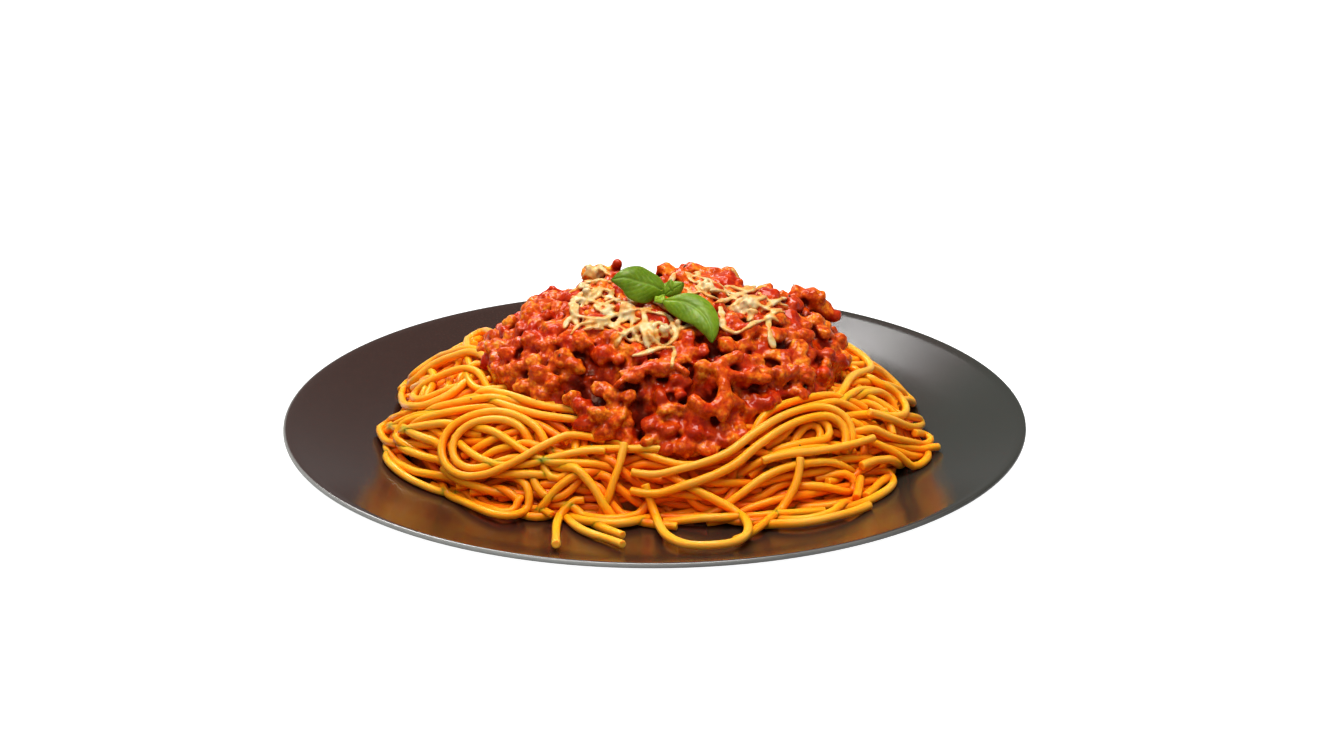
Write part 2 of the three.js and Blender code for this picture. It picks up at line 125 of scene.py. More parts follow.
# Lumps of mince: half their widths, how often each kind comes, and where none lies
USUAL_LUMP = 3.2
LUMP_SIZES = [2.0, 2.6, 3.4, 4.4, 5.4]
LUMP_KINDS = ["meat", "meat", "meat", "orange", "red", "red"]
MOST_SUNK = 1.5  # deeper hollows stay free of lumps
STRING_LIFT = 2.4
STRING_FORWARD = 2.0

# How far round a point its outlook is tested, and in how many directions
OUTLOOK_RAYS = 7
NOODLE_OUTLOOK = 8.0
SAUCE_OUTLOOK = 9.0
GRAIN_OUTLOOK = 3.0

# The studio: the floor in millimetres, the rest in metres and watts
FLOOR_HALF = 9000
CLIP_NEAR = 0.01
CLIP_FAR = 30
STUDIO_GLOW = 0.23
LIGHT_AIM = (0, 0, 0.03)
WARM_WHITE = (1.0, 0.985, 0.96)
LIGHTS = (
    ("top", (0.05, 0.0, 1.25), LIGHT_AIM, 0.6, 17.3, WARM_WHITE),
    ("window", (-0.42, 0.84, 0.98), LIGHT_AIM, 0.45, 9.0, (1.0, 0.99, 0.99)),
    ("fill", (0.15, -1.3, 1.25), LIGHT_AIM, 1.5, 2.3, WARM_WHITE),
    ("glint", (-0.5, -0.6, 1.1), LIGHT_AIM, 0.3, 3.5, WARM_WHITE),
)

# Colours along a value: each as its place from 0 to 1 and its linear red, green and blue
# The glaze's warm brown stays on the plate's left half as a painted reflection of the food
GLAZE_COLOURS = [
    (0.3, (0.019, 0.007, 0.004)), (0.62, (0.031, 0.011, 0.007)), (0.78, (0.070, 0.046, 0.036)),
]
# The darker, redder end of the noodle colours is reached by sauce stain and by painted shade in the gaps and
# at the heap's foot
CLEAN_NOODLE_COLOURS = [
    (0.0, (0.82, 0.39, 0.038)), (0.35, (0.90, 0.365, 0.010)),
    (0.7, (0.93, 0.275, 0.004)), (1.0, (0.80, 0.15, 0.002)),
]
YELLOW_NOODLE_COLOURS = [
    (0.0, (0.84, 0.43, 0.046)), (0.35, (0.91, 0.40, 0.012)),
    (0.7, (0.94, 0.305, 0.004)), (1.0, (0.82, 0.165, 0.002)),
]
# Painted shade: the heap's hidden inside is coloured like the darker, redder noodles in the gaps
CORE_COLOURS = [(0.3, (0.62, 0.10, 0.003)), (0.7, (0.80, 0.22, 0.006))]
MEAT_COLOURS = [(0.1, (0.50, 0.045, 0.001)), (0.5, (0.74, 0.145, 0.003)), (0.9, (0.92, 0.38, 0.03))]
SAUCE_COLOURS = [(0.0, (0.40, 0.011, 0.0005)), (0.5, (0.64, 0.040, 0.001)), (1.0, (0.84, 0.15, 0.002))]
CHEESE_COLOURS = [(0.0, (0.64, 0.49, 0.25)), (0.4, (0.66, 0.42, 0.14)), (1.0, (0.66, 0.25, 0.03))]
LEAF_COLOURS = [(0.3, (0.06, 0.13, 0.002)), (0.55, (0.13, 0.22, 0.003)), (0.75, (0.22, 0.32, 0.006))]
HERB_COLOURS = [(0.35, (0.012, 0.02, 0.004)), (0.65, (0.05, 0.06, 0.012))]

# Single colours, linear too
# The neutral grey that the glaze turns to towards the plate's right, away from the painted warm reflection
GLAZE_WITHOUT_PAINTED_WARMTH = (0.019, 0.020, 0.015)
# A painted highlight: the pale grey of the rim's lip on the plate's left half, standing for the light band
# that the lip reflects
PAINTED_LIP_HIGHLIGHT = (0.34, 0.345, 0.33)
# Painted shade: the near black red of the sauce in its crevices and hollows
SAUCE_PAINTED_SHADE = (0.09, 0.003, 0.0005)
VEIN_GREEN = (0.26, 0.40, 0.06)
YOUNG_GREEN = (0.33, 0.50, 0.03)


def plate_top(x, y):
    """Height of the plate's upper face."""
    up = np.clip(np.hypot(x, y) - PLATE_FLAT_RADIUS, 0, None) / (PLATE_RADIUS - PLATE_FLAT_RADIUS)
    return PLATE_FLOOR + PLATE_RIM_RISE * up * up


def rim_top(radius):
    """Height of the upper face with the flatter last part before the lip."""
    out = max(0.0, radius - RIM_FLATTER_FROM) / (RIM_RADIUS - RIM_FLATTER_FROM)
    return float(plate_top(radius, 0)) - RIM_DROP * out * out


def heap_radius(angle, inset=0.0):
    """How far the heap reaches at an angle round its middle."""
    across = np.abs(np.cos(angle)) / (HEAP_HALF_WIDTH - inset)
    along = np.abs(np.sin(angle)) / (HEAP_HALF_DEPTH - inset)
    return (across**HEAP_SQUARENESS + along**HEAP_SQUARENESS) ** (-1 / HEAP_SQUARENESS)


def heap_top(x, y, inset=0.0):
    """Height of the heap's outer noodles, or of a layer that lies deeper by the inset."""
    angle = np.arctan2(y - HEAP_MIDDLE_Y, x)
    share = np.hypot(x, y - HEAP_MIDDLE_Y) / heap_radius(angle, inset)
    dome = np.clip(1 - share * share, 0, 1) ** HEAP_SHOULDER
    return PLATE_FLOOR + (HEAP_HEIGHT - inset) * dome


def sauce_radius(angle):
    """How far the sauce reaches at an angle round the heap's middle."""
    lean = 3 * np.cos(angle) - 3.5 * np.sin(angle)
    sides = 3 * np.cos(2 * angle) + 2 * np.cos(4 * angle)
    return SAUCE_RADIUS + lean + sides + 1.2 * np.sin(7 * angle)


def sauce_share(x, y):
    """0 in the middle of the sauce's outline and 1 on it."""
    angle = np.arctan2(y - HEAP_MIDDLE_Y, x)
    return np.hypot(x, y - HEAP_MIDDLE_Y) / sauce_radius(angle)


class Grid:
    """A surface as heights over a square grid of the plan."""

    def __init__(self, surface, half=134.0, cell=0.5):
        self.half = half
        self.cell = cell
        line = np.arange(-half, half + cell / 2, cell)
        self.side = len(line)
        self.x, self.y = np.meshgrid(line, line)
        self.z = surface(self.x, self.y).astype(float)
        self.slope_y, self.slope_x = np.gradient(self.z, cell)

    def _corner(self, x, y):
        column = np.clip((x + self.half) / self.cell, 0, self.side - 1.001)
        row = np.clip((y + self.half) / self.cell, 0, self.side - 1.001)
        return row.astype(int), column.astype(int), row % 1, column % 1

    def read(self, values, x, y):
        """Values of a grid at points of the plan, blended between the cells."""
        row, column, down, across = self._corner(x, y)
        near = values[row, column] * (1 - across) + values[row, column + 1] * across
        far = values[row + 1, column] * (1 - across) + values[row + 1, column + 1] * across
        return near * (1 - down) + far * down

    def height(self, x, y):
        return self.read(self.z, x, y)


class View:
    """The photograph's camera, for casting a pixel onto a surface."""

    def __init__(self):
        self.at = np.array(CAMERA_AT)
        self.forward = np.array(CAMERA_FORWARD) / np.linalg.norm(CAMERA_FORWARD)
        right = np.cross(self.forward, (0, 0, 1))
        self.right = right / np.linalg.norm(right)
        self.up = np.cross(self.right, self.forward)
        self.focal = LENS / SENSOR * PHOTO_SIZE[0]

    def ray(self, px, py):
        across = (px - PHOTO_SIZE[0] / 2) / self.focal
        down = (py - PHOTO_SIZE[1] / 2) / self.focal
        way = self.forward + across * self.right - down * self.up
        return way / np.linalg.norm(way)

    def at_depth(self, px, py, y):
        """The point of a pixel's ray at a distance towards the back."""
        way = self.ray(px, py)
        return self.at + way * (y - self.at[1]) / way[1]

    def hit(self, px, py, grid):
        """Where a pixel's ray first meets a surface, or passes nearest over the food's far side."""
        way = self.ray(px, py)
        steps = np.arange(RAY_NEAR, RAY_FAR, RAY_STEP)
        points = self.at + steps[:, None] * way
        x, y = points[:, 0], points[:, 1]
        above = points[:, 2] - grid.height(x, y)
        food = np.hypot(x, y - HEAP_MIDDLE_Y) < heap_radius(np.arctan2(y - HEAP_MIDDLE_Y, x))
        found = np.nonzero((above <= 0) & (np.hypot(x, y) < PLATE_RADIUS))[0]
        if len(found) and (food[found[0]] or y[found[0]] < HEAP_MIDDLE_Y):
            return points[found[0]]
        return points[np.argmin(np.where(food, above, np.inf))]

    def pixel(self, points):
        """Where points show in the picture."""
        offset = points - self.at
        depth = offset @ self.forward
        px = PHOTO_SIZE[0] / 2 + self.focal * (offset @ self.right) / depth
        py = PHOTO_SIZE[1] / 2 - self.focal * (offset @ self.up) / depth
        return px, py


def smooth_line(points, spacing):
    """A line through a few points, resampled evenly (Catmull-Rom)."""
    p = np.asarray(points, float)
    ends = np.vstack([2 * p[0] - p[1], p, 2 * p[-1] - p[-2]])
    t = np.linspace(0, 1, 24, endpoint=False)[:, None]
    pieces = []
    for a, b, c, d in zip(ends[:-3], ends[1:-2], ends[2:-1], ends[3:]):
        pieces.append(
            0.5 * (2 * b + (c - a) * t + (2 * a - 5 * b + 4 * c - d) * t**2 + (3 * b - a - 3 * c + d) * t**3)
        )
    return even_line(np.vstack([*pieces, p[-1:]]), spacing)


def even_line(line, spacing):
    """The same line with its points at an even spacing."""
    along = np.concatenate([[0], np.cumsum(np.linalg.norm(np.diff(line, axis=0), axis=1))])
    count = max(3, int(round(along[-1] / spacing)) + 1)
    at = np.linspace(0, along[-1], count)
    return np.stack([np.interp(at, along, line[:, k]) for k in range(line.shape[1])], 1)


# The noodles that the front shows, the ones that lie on top last: a few points of the picture
# from end to end, how many lie side by side, and which ends are free. Other ends run under the rest.
SHOWN_NOODLES = {
    "left_foot": ([(480, 470), (440, 474), (418, 471), (402, 460), (394, 444), (404, 428)], 3, ""),
    "left_low": ([(384, 436), (398, 452), (422, 463), (452, 464), (480, 456)], 2, ""),
    "left_tip": ([(498, 400), (452, 408), (420, 412), (398, 421), (383, 431), (404, 437), (430, 437),
                  (470, 424)], 2, ""),
    "left_tip_inner": ([(490, 410), (440, 418), (412, 424), (400, 431), (420, 443), (462, 446)], 2, ""),
    "far_left_back": ([(496, 348), (470, 348), (444, 356), (420, 368), (402, 384)], 1, ""),
    "far_left": ([(506, 362), (476, 352), (455, 356), (434, 365), (416, 380), (403, 393), (406, 406),
                  (428, 406), (452, 394), (474, 374), (504, 350)], 1, ""),
    "far_left_inner": ([(506, 376), (470, 368), (446, 374), (424, 386), (412, 396), (424, 400),
                        (450, 387), (490, 366)], 1, ""),
    "small_hoop": ([(472, 376), (467, 352), (469, 338), (479, 331), (494, 333), (512, 344)], 1, ""),
    "left_hook": ([(506, 350), (474, 360), (467, 377), (478, 389), (494, 384), (518, 366)], 1, ""),
    "left_shoulder": ([(456, 384), (474, 390), (498, 397), (520, 405), (546, 411), (574, 412),
                       (600, 412), (622, 410)], 2, ""),
    "left_bundle": ([(400, 420), (430, 412), (462, 406), (490, 402), (520, 404), (552, 400)], 2, ""),
    "left_stub": ([(434, 400), (424, 420), (420, 436), (440, 450)], 1, ""),
    "oval_middle": ([(470, 444), (486, 430), (510, 421), (540, 422), (572, 430)], 3, ""),
    "oval_filling": ([(464, 416), (470, 430), (476, 444), (484, 458), (500, 470)], 1, ""),
    "oval_low": ([(462, 464), (484, 462), (506, 452), (530, 444), (562, 436)], 2, ""),
    "oval_across": ([(458, 452), (478, 446), (500, 440), (530, 432), (566, 424)], 2, ""),
    "foot_back": ([(446, 462), (470, 482), (500, 492), (530, 492), (560, 484), (590, 470)], 3, ""),
    "foot_loop": ([(452, 462), (451, 482), (465, 498), (486, 509), (504, 515), (519, 511), (526, 497),
                   (516, 485), (498, 478), (470, 472)], 2, ""),
    "foot_arc": ([(500, 494), (516, 512), (536, 518), (554, 512), (570, 502), (582, 490), (594, 468)], 1, ""),
    "foot_arc_left": ([(462, 476), (486, 490), (506, 494), (524, 489), (552, 476)], 2, ""),
    "under_bridge": ([(604, 434), (582, 456), (566, 468), (548, 486), (536, 510)], 2, ""),
    "bridge": ([(504, 466), (530, 477), (560, 476), (578, 470), (600, 452)], 1, ""),
    "short_end": ([(552, 444), (530, 456), (512, 464), (490, 472)], 1, ""),
    "wide_oval_twin": ([(556, 444), (532, 428), (506, 419), (480, 421), (460, 431), (452, 446), (456, 462),
                        (476, 469), (502, 460), (528, 450), (560, 444)], 1, ""),
    "wide_oval": ([(572, 446), (556, 436), (540, 425), (520, 416), (500, 411), (480, 413), (462, 420),
                   (448, 430), (441, 445), (443, 460), (452, 471), (468, 476), (487, 473), (505, 466),
                   (525, 455), (545, 444), (562, 434), (584, 424), (606, 420)], 1, ""),
    "down_left": ([(548, 434), (574, 452), (590, 470), (602, 488), (606, 512)], 2, ""),
    "down_right": ([(582, 438), (604, 464), (618, 484), (640, 498), (676, 504)], 3, ""),
    "front_middle": ([(606, 446), (628, 466), (656, 478), (690, 482), (724, 476), (756, 462)], 3, ""),
    "front_low": ([(546, 478), (560, 504), (584, 518), (610, 522), (640, 518), (668, 506),
                   (706, 490)], 2, ""),
    "front_low_right": ([(600, 490), (640, 500), (672, 506), (710, 512), (744, 520), (772, 516),
                         (796, 502)], 2, ""),
    "front_deep_right": ([(664, 492), (700, 500), (740, 506), (780, 508), (820, 504)], 3, ""),
    "to_front": ([(566, 474), (558, 490), (557, 508), (556, 526), (556, 544)], 1, "end"),
    "low_end": ([(558, 498), (570, 522), (588, 533), (606, 538), (622, 544)], 1, "end"),
    "low_end_upper": ([(564, 494), (584, 516), (600, 526), (622, 535)], 1, "end"),
    "diagonal": ([(624, 444), (620, 462), (610, 478), (598, 490), (578, 502)], 1, "start"),
    "right_deep": ([(706, 510), (744, 496), (776, 488), (812, 482), (850, 474), (888, 458)], 2, ""),
    "right_slope": ([(836, 380), (866, 394), (890, 412), (908, 430), (912, 446)], 2, ""),
    "right_foot": ([(736, 514), (760, 519), (784, 521), (806, 521), (829, 516), (846, 511),
                    (864, 502)], 2, ""),
    "right_low": ([(770, 508), (803, 507), (824, 505), (841, 501), (857, 497), (866, 484)], 2, ""),
    "right_low_inner": ([(740, 504), (770, 495), (792, 488), (814, 480), (838, 478)], 2, ""),
    "right_posts": ([(874, 450), (868, 464), (865, 480), (862, 497)], 2, "end"),
    "right_slant": ([(878, 440), (866, 454), (854, 464), (842, 480), (826, 490)], 2, ""),
    "right_flat": ([(815, 462), (835, 464), (848, 469), (855, 479), (856, 490), (848, 492), (822, 486),
                    (798, 480)], 1, ""),
    "right_hoop": ([(858, 450), (875, 456), (885, 464), (893, 474), (893, 484), (883, 493), (867, 501),
                    (852, 507),
                    (836, 513)], 1, ""),
    "right_standing": ([(856, 398), (860, 412), (861, 424), (863, 440), (868, 452)], 1, ""),
    "right_tip_foot": ([(858, 444), (874, 447), (884, 452), (895, 457), (907, 459), (918, 456)], 1, ""),
    "right_tip_low": ([(850, 430), (866, 436), (880, 441), (889, 445), (900, 451), (913, 456),
                       (925, 454)], 1, ""),
    "right_tip_middle": ([(860, 424), (876, 430), (886, 438), (898, 444), (911, 448), (925, 451),
                          (932, 446)], 1, ""),
    "right_tip": ([(840, 410), (859, 417), (871, 423), (879, 429), (889, 436), (902, 441), (916, 444),
                   (928, 445),
                   (932, 440), (926, 434), (914, 432)], 1, "end"),
    "right_short": ([(884, 410), (889, 422), (893, 434)], 1, "start end"),
    "right_short_outer": ([(904, 420), (909, 430), (912, 440)], 1, "start end"),
    "right_small_hoop": ([(870, 412), (891, 419), (902, 424), (912, 428), (921, 426), (921, 420), (912, 417),
                          (898, 415)], 1, "start end"),
    "right_across": ([(850, 404), (870, 414), (880, 424), (884, 436)], 1, ""),
    "right_inner": ([(834, 386), (853, 388), (867, 390), (878, 390), (888, 394), (896, 402), (900, 410),
                     (892, 414)], 1, ""),
    "right_shoulder": ([(822, 394), (836, 405), (847, 411), (859, 417), (872, 424), (884, 426)], 2, ""),
    "right_back": ([(848, 358), (862, 370), (872, 379), (886, 386), (897, 393), (904, 401), (906, 409),
                    (902, 416),
                    (887, 416), (874, 411), (863, 407), (844, 402)], 1, ""),
    "right_crest": ([(838, 368), (852, 372), (864, 380), (872, 390)], 1, ""),
    "front_sweep": ([(604, 420), (630, 443), (652, 456), (680, 465), (708, 463), (738, 452), (764, 444),
                     (790, 442)], 1, ""),
    "sauce_side": ([(742, 438), (757, 421), (784, 409), (812, 401), (840, 395), (862, 396)], 2, ""),
    "sweep_low": ([(694, 508), (722, 494), (742, 482), (764, 468), (792, 458), (830, 452),
                   (862, 450)], 2, ""),
    "swirl_middle": ([(736, 452), (758, 448), (780, 446), (802, 443), (826, 440), (832, 432), (826, 422),
                      (812, 417), (794, 421), (780, 432), (764, 438)], 1, ""),
    "swirl_inner": ([(778, 440), (790, 428), (804, 420), (817, 422), (821, 429), (814, 434), (800, 438),
                     (786, 444)], 1, ""),
    "sweep": ([(632, 481), (654, 484), (676, 478), (704, 470), (732, 458), (753, 441), (784, 421), (811, 412),
               (831, 412), (846, 421), (850, 434), (844, 448)], 2, "start"),
    "second_hoop": ([(736, 540), (752, 531), (768, 521), (784, 505), (794, 488), (799, 474),
                     (800, 458)], 1, "start end"),
    "front_hoop": ([(664, 470), (690, 486), (712, 498), (732, 509), (746, 520), (748, 532), (736, 542),
                    (708, 546),
                    (684, 544), (666, 535), (658, 520), (655, 500), (652, 474)], 1, ""),
    "long_top_low": ([(790, 464), (806, 461), (822, 460), (841, 457), (858, 450), (872, 440)], 1, ""),
    "long_top": ([(764, 460), (782, 455), (806, 452), (829, 449), (853, 444), (873, 438)], 1, "start end"),
}


class Noodles:
    """Lays noodles on one another: first roughly, by lowering each onto the ones below, and then
    by pushing crossing noodles apart while all sink and keep their length."""

    def __init__(self, thickness, spacing):
        self.thickness = thickness
        self.spacing = spacing
        self.ground = Grid(lambda x, y: np.maximum(heap_top(x, y, NOODLE_LAYER), plate_top(x, y)))
        self.outside = Grid(lambda x, y: np.maximum(heap_top(x, y), plate_top(x, y) + thickness))
        self.pile = self.ground.z.copy()
        reach = int(thickness / 2 / self.ground.cell)
        steps = np.arange(-reach, reach + 1)
        self.foot_x, self.foot_y = (a.ravel() for a in np.meshgrid(steps, steps))
        away = np.hypot(self.foot_x, self.foot_y) * self.ground.cell
        inside = away < thickness / 2
        self.foot_x, self.foot_y = self.foot_x[inside], self.foot_y[inside]
        self.foot_half = np.sqrt((thickness / 2) ** 2 - away[inside] ** 2)
        self.lines = []
        self.aims = []
        self.tones = []

    def cells(self, line):
        column = np.round((line[:, 0] + self.ground.half) / self.ground.cell).astype(int)
        row = np.round((line[:, 1] + self.ground.half) / self.ground.cell).astype(int)
        rows = np.clip(row[:, None] + self.foot_y, 0, self.ground.side - 1)
        columns = np.clip(column[:, None] + self.foot_x, 0, self.ground.side - 1)
        return rows, columns

    def lay(self, plan, tone, free="", stiffness=14):
        """Lowers a noodle onto the pile and adds it. A plan with heights stays in the camera's line.
        Ends that aren't free dive into the heap."""
        line = even_line(plan, self.spacing)
        if len(line) < 8:
            return
        rows, columns = self.cells(line)
        need = (self.pile[rows, columns] + self.foot_half).max(1)
        height = need.copy()
        for _ in range(stiffness):
            mean = (height[:-2] + height[1:-1] + height[2:]) / 3
            height[1:-1] = np.maximum(need[1:-1], mean)
        np.maximum.at(self.pile, (rows, columns), height[:, None] + self.foot_half)
        along = np.arange(len(line)) * self.spacing
        dive = np.zeros(len(line))
        for end, away in (("start", along), ("end", along[::-1])):
            if end not in free:
                dive = np.maximum(dive, DIVE_DEPTH * np.clip(1 - away / DIVE_LENGTH, 0, 1))
        top = self.outside.height(line[:, 0], line[:, 1])
        height = np.where(dive > 0, np.minimum(height, top) - dive, height)
        self.lines.append(np.column_stack([line[:, :2], height]))
        aims = line.copy() if plan.shape[1] == 3 else np.full((len(line), 3), np.nan)
        aims[dive > 0] = np.nan
        self.aims.append(aims)
        self.tones.append(tone)

    def lay_beside(self, plan, count, tones, free="", gap=1.12):
        """Lays a few noodles side by side."""
        if len(plan) < 3:
            return
        way = np.gradient(plan[:, :2], axis=0)
        way /= np.linalg.norm(way, axis=1)[:, None] + 1e-9
        aside = np.column_stack([-way[:, 1], way[:, 0]])
        for k in range(count):
            shift = (k - (count - 1) / 2) * self.thickness * gap
            beside = plan.copy()
            beside[:, :2] += aside * shift
            if plan.shape[1] == 3:
                beside[:, 2] += self.outside.height(*beside[:, :2].T) - self.outside.height(*plan[:, :2].T)
            self.lay(beside, tones(), free)

    def near_pairs(self, points, own, reach):
        """Pairs of points closer than a reach, apart from close neighbours on one noodle."""
        cell = np.floor(points / reach).astype(np.int64)
        cell -= cell.min(0) - 1
        size = cell.max(0) + 2
        key = (cell[:, 0] * size[1] + cell[:, 1]) * size[2] + cell[:, 2]
        order = np.argsort(key, kind="stable")
        ranked = key[order]
        count = len(points)
        first_all, second_all = [], []
        for dx in (0, 1):
            for dy in (-1, 0, 1):
                for dz in (-1, 0, 1):
                    if (dx, dy, dz) < (0, 0, 0):
                        continue
                    shift = (dx * size[1] + dy) * size[2] + dz
                    start = np.searchsorted(ranked, key + shift, "left")
                    stop = np.searchsorted(ranked, key + shift, "right")
                    many = stop - start
                    first = np.repeat(np.arange(count), many)
                    run = np.arange(many.sum()) - np.repeat(np.cumsum(many) - many, many)
                    second = order[np.repeat(start, many) + run]
                    if (dx, dy, dz) == (0, 0, 0):
                        keep = second > first
                        first, second = first[keep], second[keep]
                    first_all.append(first)
                    second_all.append(second)
        first, second = np.concatenate(first_all), np.concatenate(second_all)
        gap = np.linalg.norm(points[first] - points[second], axis=1)
        apart = (own[first] != own[second]) | (np.abs(first - second) > 4)
        keep = (gap < reach) & apart
        return first[keep], second[keep]

    def settle(self, view, rounds):
        """Pushes the noodles apart and lets them sink, a little in each round."""
        points = np.vstack(self.lines)
        lengths = [len(line) for line in self.lines]
        own = np.repeat(np.arange(len(lengths)), lengths)
        start = np.cumsum([0, *lengths])
        joined = np.nonzero(own[:-1] == own[1:])[0]
        easy = np.column_stack([points[:, :2], self.outside.height(points[:, 0], points[:, 1])])
        bends = []
        for stride, stiffness in NOODLE_STIFFNESS:
            middle = np.arange(stride, len(points) - stride)
            middle = middle[own[middle - stride] == own[middle + stride]]
            rest = (easy[middle - stride] + easy[middle + stride]) / 2 - easy[middle]
            bends.append((middle, stride, stiffness, rest))
        aims = np.vstack(self.aims)
        on_ray = ~np.isnan(aims[:, 0])
        ways = aims[on_ray] - view.at
        ways /= np.linalg.norm(ways, axis=1)[:, None]
        for round_number in range(rounds):
            if round_number % REGROUP_ROUNDS == 0:
                first, second = self.near_pairs(points, own, self.thickness + REGROUP_MARGIN)
            late = round_number / rounds
            points[:, 2] -= SINK_STEP * (1 - late)
            gap = points[second] - points[first]
            away = np.linalg.norm(gap, axis=1) + 1e-9
            short = np.clip(self.thickness * TOUCHING - away, 0, None)
            hit = short > 0
            push = gap[hit] * (0.5 * short[hit] / away[hit])[:, None]
            a, b = first[hit], second[hit]
            share = np.bincount(a, minlength=len(points)) + np.bincount(b, minlength=len(points))
            for k in range(3):
                move = np.bincount(b, push[:, k], len(points)) - np.bincount(a, push[:, k], len(points))
                points[:, k] += PUSH_GAIN * move / np.maximum(share, 1)
            link = points[joined + 1] - points[joined]
            long = np.linalg.norm(link, axis=1)
            pull = link * (LENGTH_PULL * (long - self.spacing) / long)[:, None]
            for k in range(3):
                points[:, k] += np.bincount(joined, pull[:, k], len(points))
                points[:, k] -= np.bincount(joined + 1, pull[:, k], len(points))
            for middle, stride, stiffness, rest in bends:
                now = (points[middle - stride] + points[middle + stride]) / 2 - points[middle]
                points[middle] += stiffness * (now - rest)
            above = points[:, 2] - self.outside.height(points[:, 0], points[:, 1])
            points[:, 2] -= np.where(on_ray, SHOWN_LIFT_PULL, LIFT_PULL) * np.clip(above, 0, None)
            along = ((points[on_ray] - view.at) * ways).sum(1)[:, None]
            points[on_ray] += RAY_PULL * (view.at + along * ways - points[on_ray])
            x, y = points[:, 0], points[:, 1]
            slope_x = self.ground.read(self.ground.slope_x, x, y)
            slope_y = self.ground.read(self.ground.slope_y, x, y)
            upright = 1 / np.sqrt(1 + slope_x**2 + slope_y**2)
            inside = self.thickness / 2 - (points[:, 2] - self.ground.height(x, y)) * upright
            out = np.clip(inside, 0, None)[:, None]
            points += out * np.column_stack([-slope_x, -slope_y, np.ones_like(x)]) * upright[:, None]
        self.lines = [points[start[i]:start[i + 1]] for i in range(len(lengths))]


def longest_run(line, keep):
    """The longest unbroken stretch of a line that a mask keeps."""
    best, run = (0, 0), 0
    for i, kept in enumerate([*keep, False]):
        if kept:
            continue
        if i - run > best[1] - best[0]:
            best = (run, i)
        run = i + 1
    return line[best[0]:best[1]]


def outside_sauce(plan, tuck):
    """A plan cut off where it lies under the sauce by more than a tuck."""
    angle = np.arctan2(plan[:, 1] - HEAP_MIDDLE_Y, plan[:, 0])
    out = np.hypot(plan[:, 0], plan[:, 1] - HEAP_MIDDLE_Y)
    return longest_run(plan, out > sauce_radius(angle) - tuck)


def ring_plan(random, turn, level, span, sway):
    """A noodle that runs round the heap at a level, swaying up and down."""
    t = np.linspace(0, 1, 120)
    angle = turn + span * t
    share = level + sway * np.sin(2 * np.pi * (random.uniform(0.7, 1.6) * t + random.uniform()))
    share += sway * 0.5 * np.sin(2 * np.pi * (random.uniform(2, 3.4) * t + random.uniform()))
    radius = heap_radius(angle) * share
    return np.column_stack([radius * np.cos(angle), HEAP_MIDDLE_Y + radius * np.sin(angle)])


def turn_plan(random, turn, reach, radius, lean, length):
    """A noodle that comes down the heap, turns back near its foot and runs up again."""
    sweep = np.linspace(-0.5 * np.pi, 0.5 * np.pi, 30)
    squash = random.uniform(0.7, 1.2)
    bow = np.column_stack([squash * radius * np.cos(sweep), radius * np.sin(sweep)])
    runs = np.linspace(1, 0, 24)[:-1]
    flare_in, flare_out = random.uniform(-0.5, 0.7, 2)
    down = np.column_stack([-length * runs, -radius - radius * flare_in * runs**1.5])
    up = np.column_stack(
        [-length * runs[::-1] * random.uniform(0.6, 1), radius + radius * flare_out * runs[::-1] ** 1.5]
    )
    line = np.vstack([down, bow, up])
    foot = heap_radius(turn) * reach
    heading = turn + lean
    cos, sin = math.cos(heading), math.sin(heading)
    centre = np.array([foot * math.cos(turn), HEAP_MIDDLE_Y + foot * math.sin(turn)])
    centre -= radius * np.array([cos, sin])
    return centre + line @ np.array([[cos, sin], [-sin, cos]])


def curl_plan(random, turn, level, size, heading):
    """A loose oval of noodle lying on the heap's side."""
    sweep = np.linspace(0, random.uniform(290, 430) * DEGREE, 90) + random.uniform(0, 2 * np.pi)
    grow = 1 + 0.16 * np.linspace(-1, 1, 90)
    line = np.column_stack([size[0] * grow * np.cos(sweep), size[1] * grow * np.sin(sweep)])
    cos, sin = math.cos(heading), math.sin(heading)
    radius = heap_radius(turn) * level
    centre = np.array([radius * math.cos(turn), HEAP_MIDDLE_Y + radius * math.sin(turn)])
    return centre + line @ np.array([[cos, sin], [-sin, cos]])


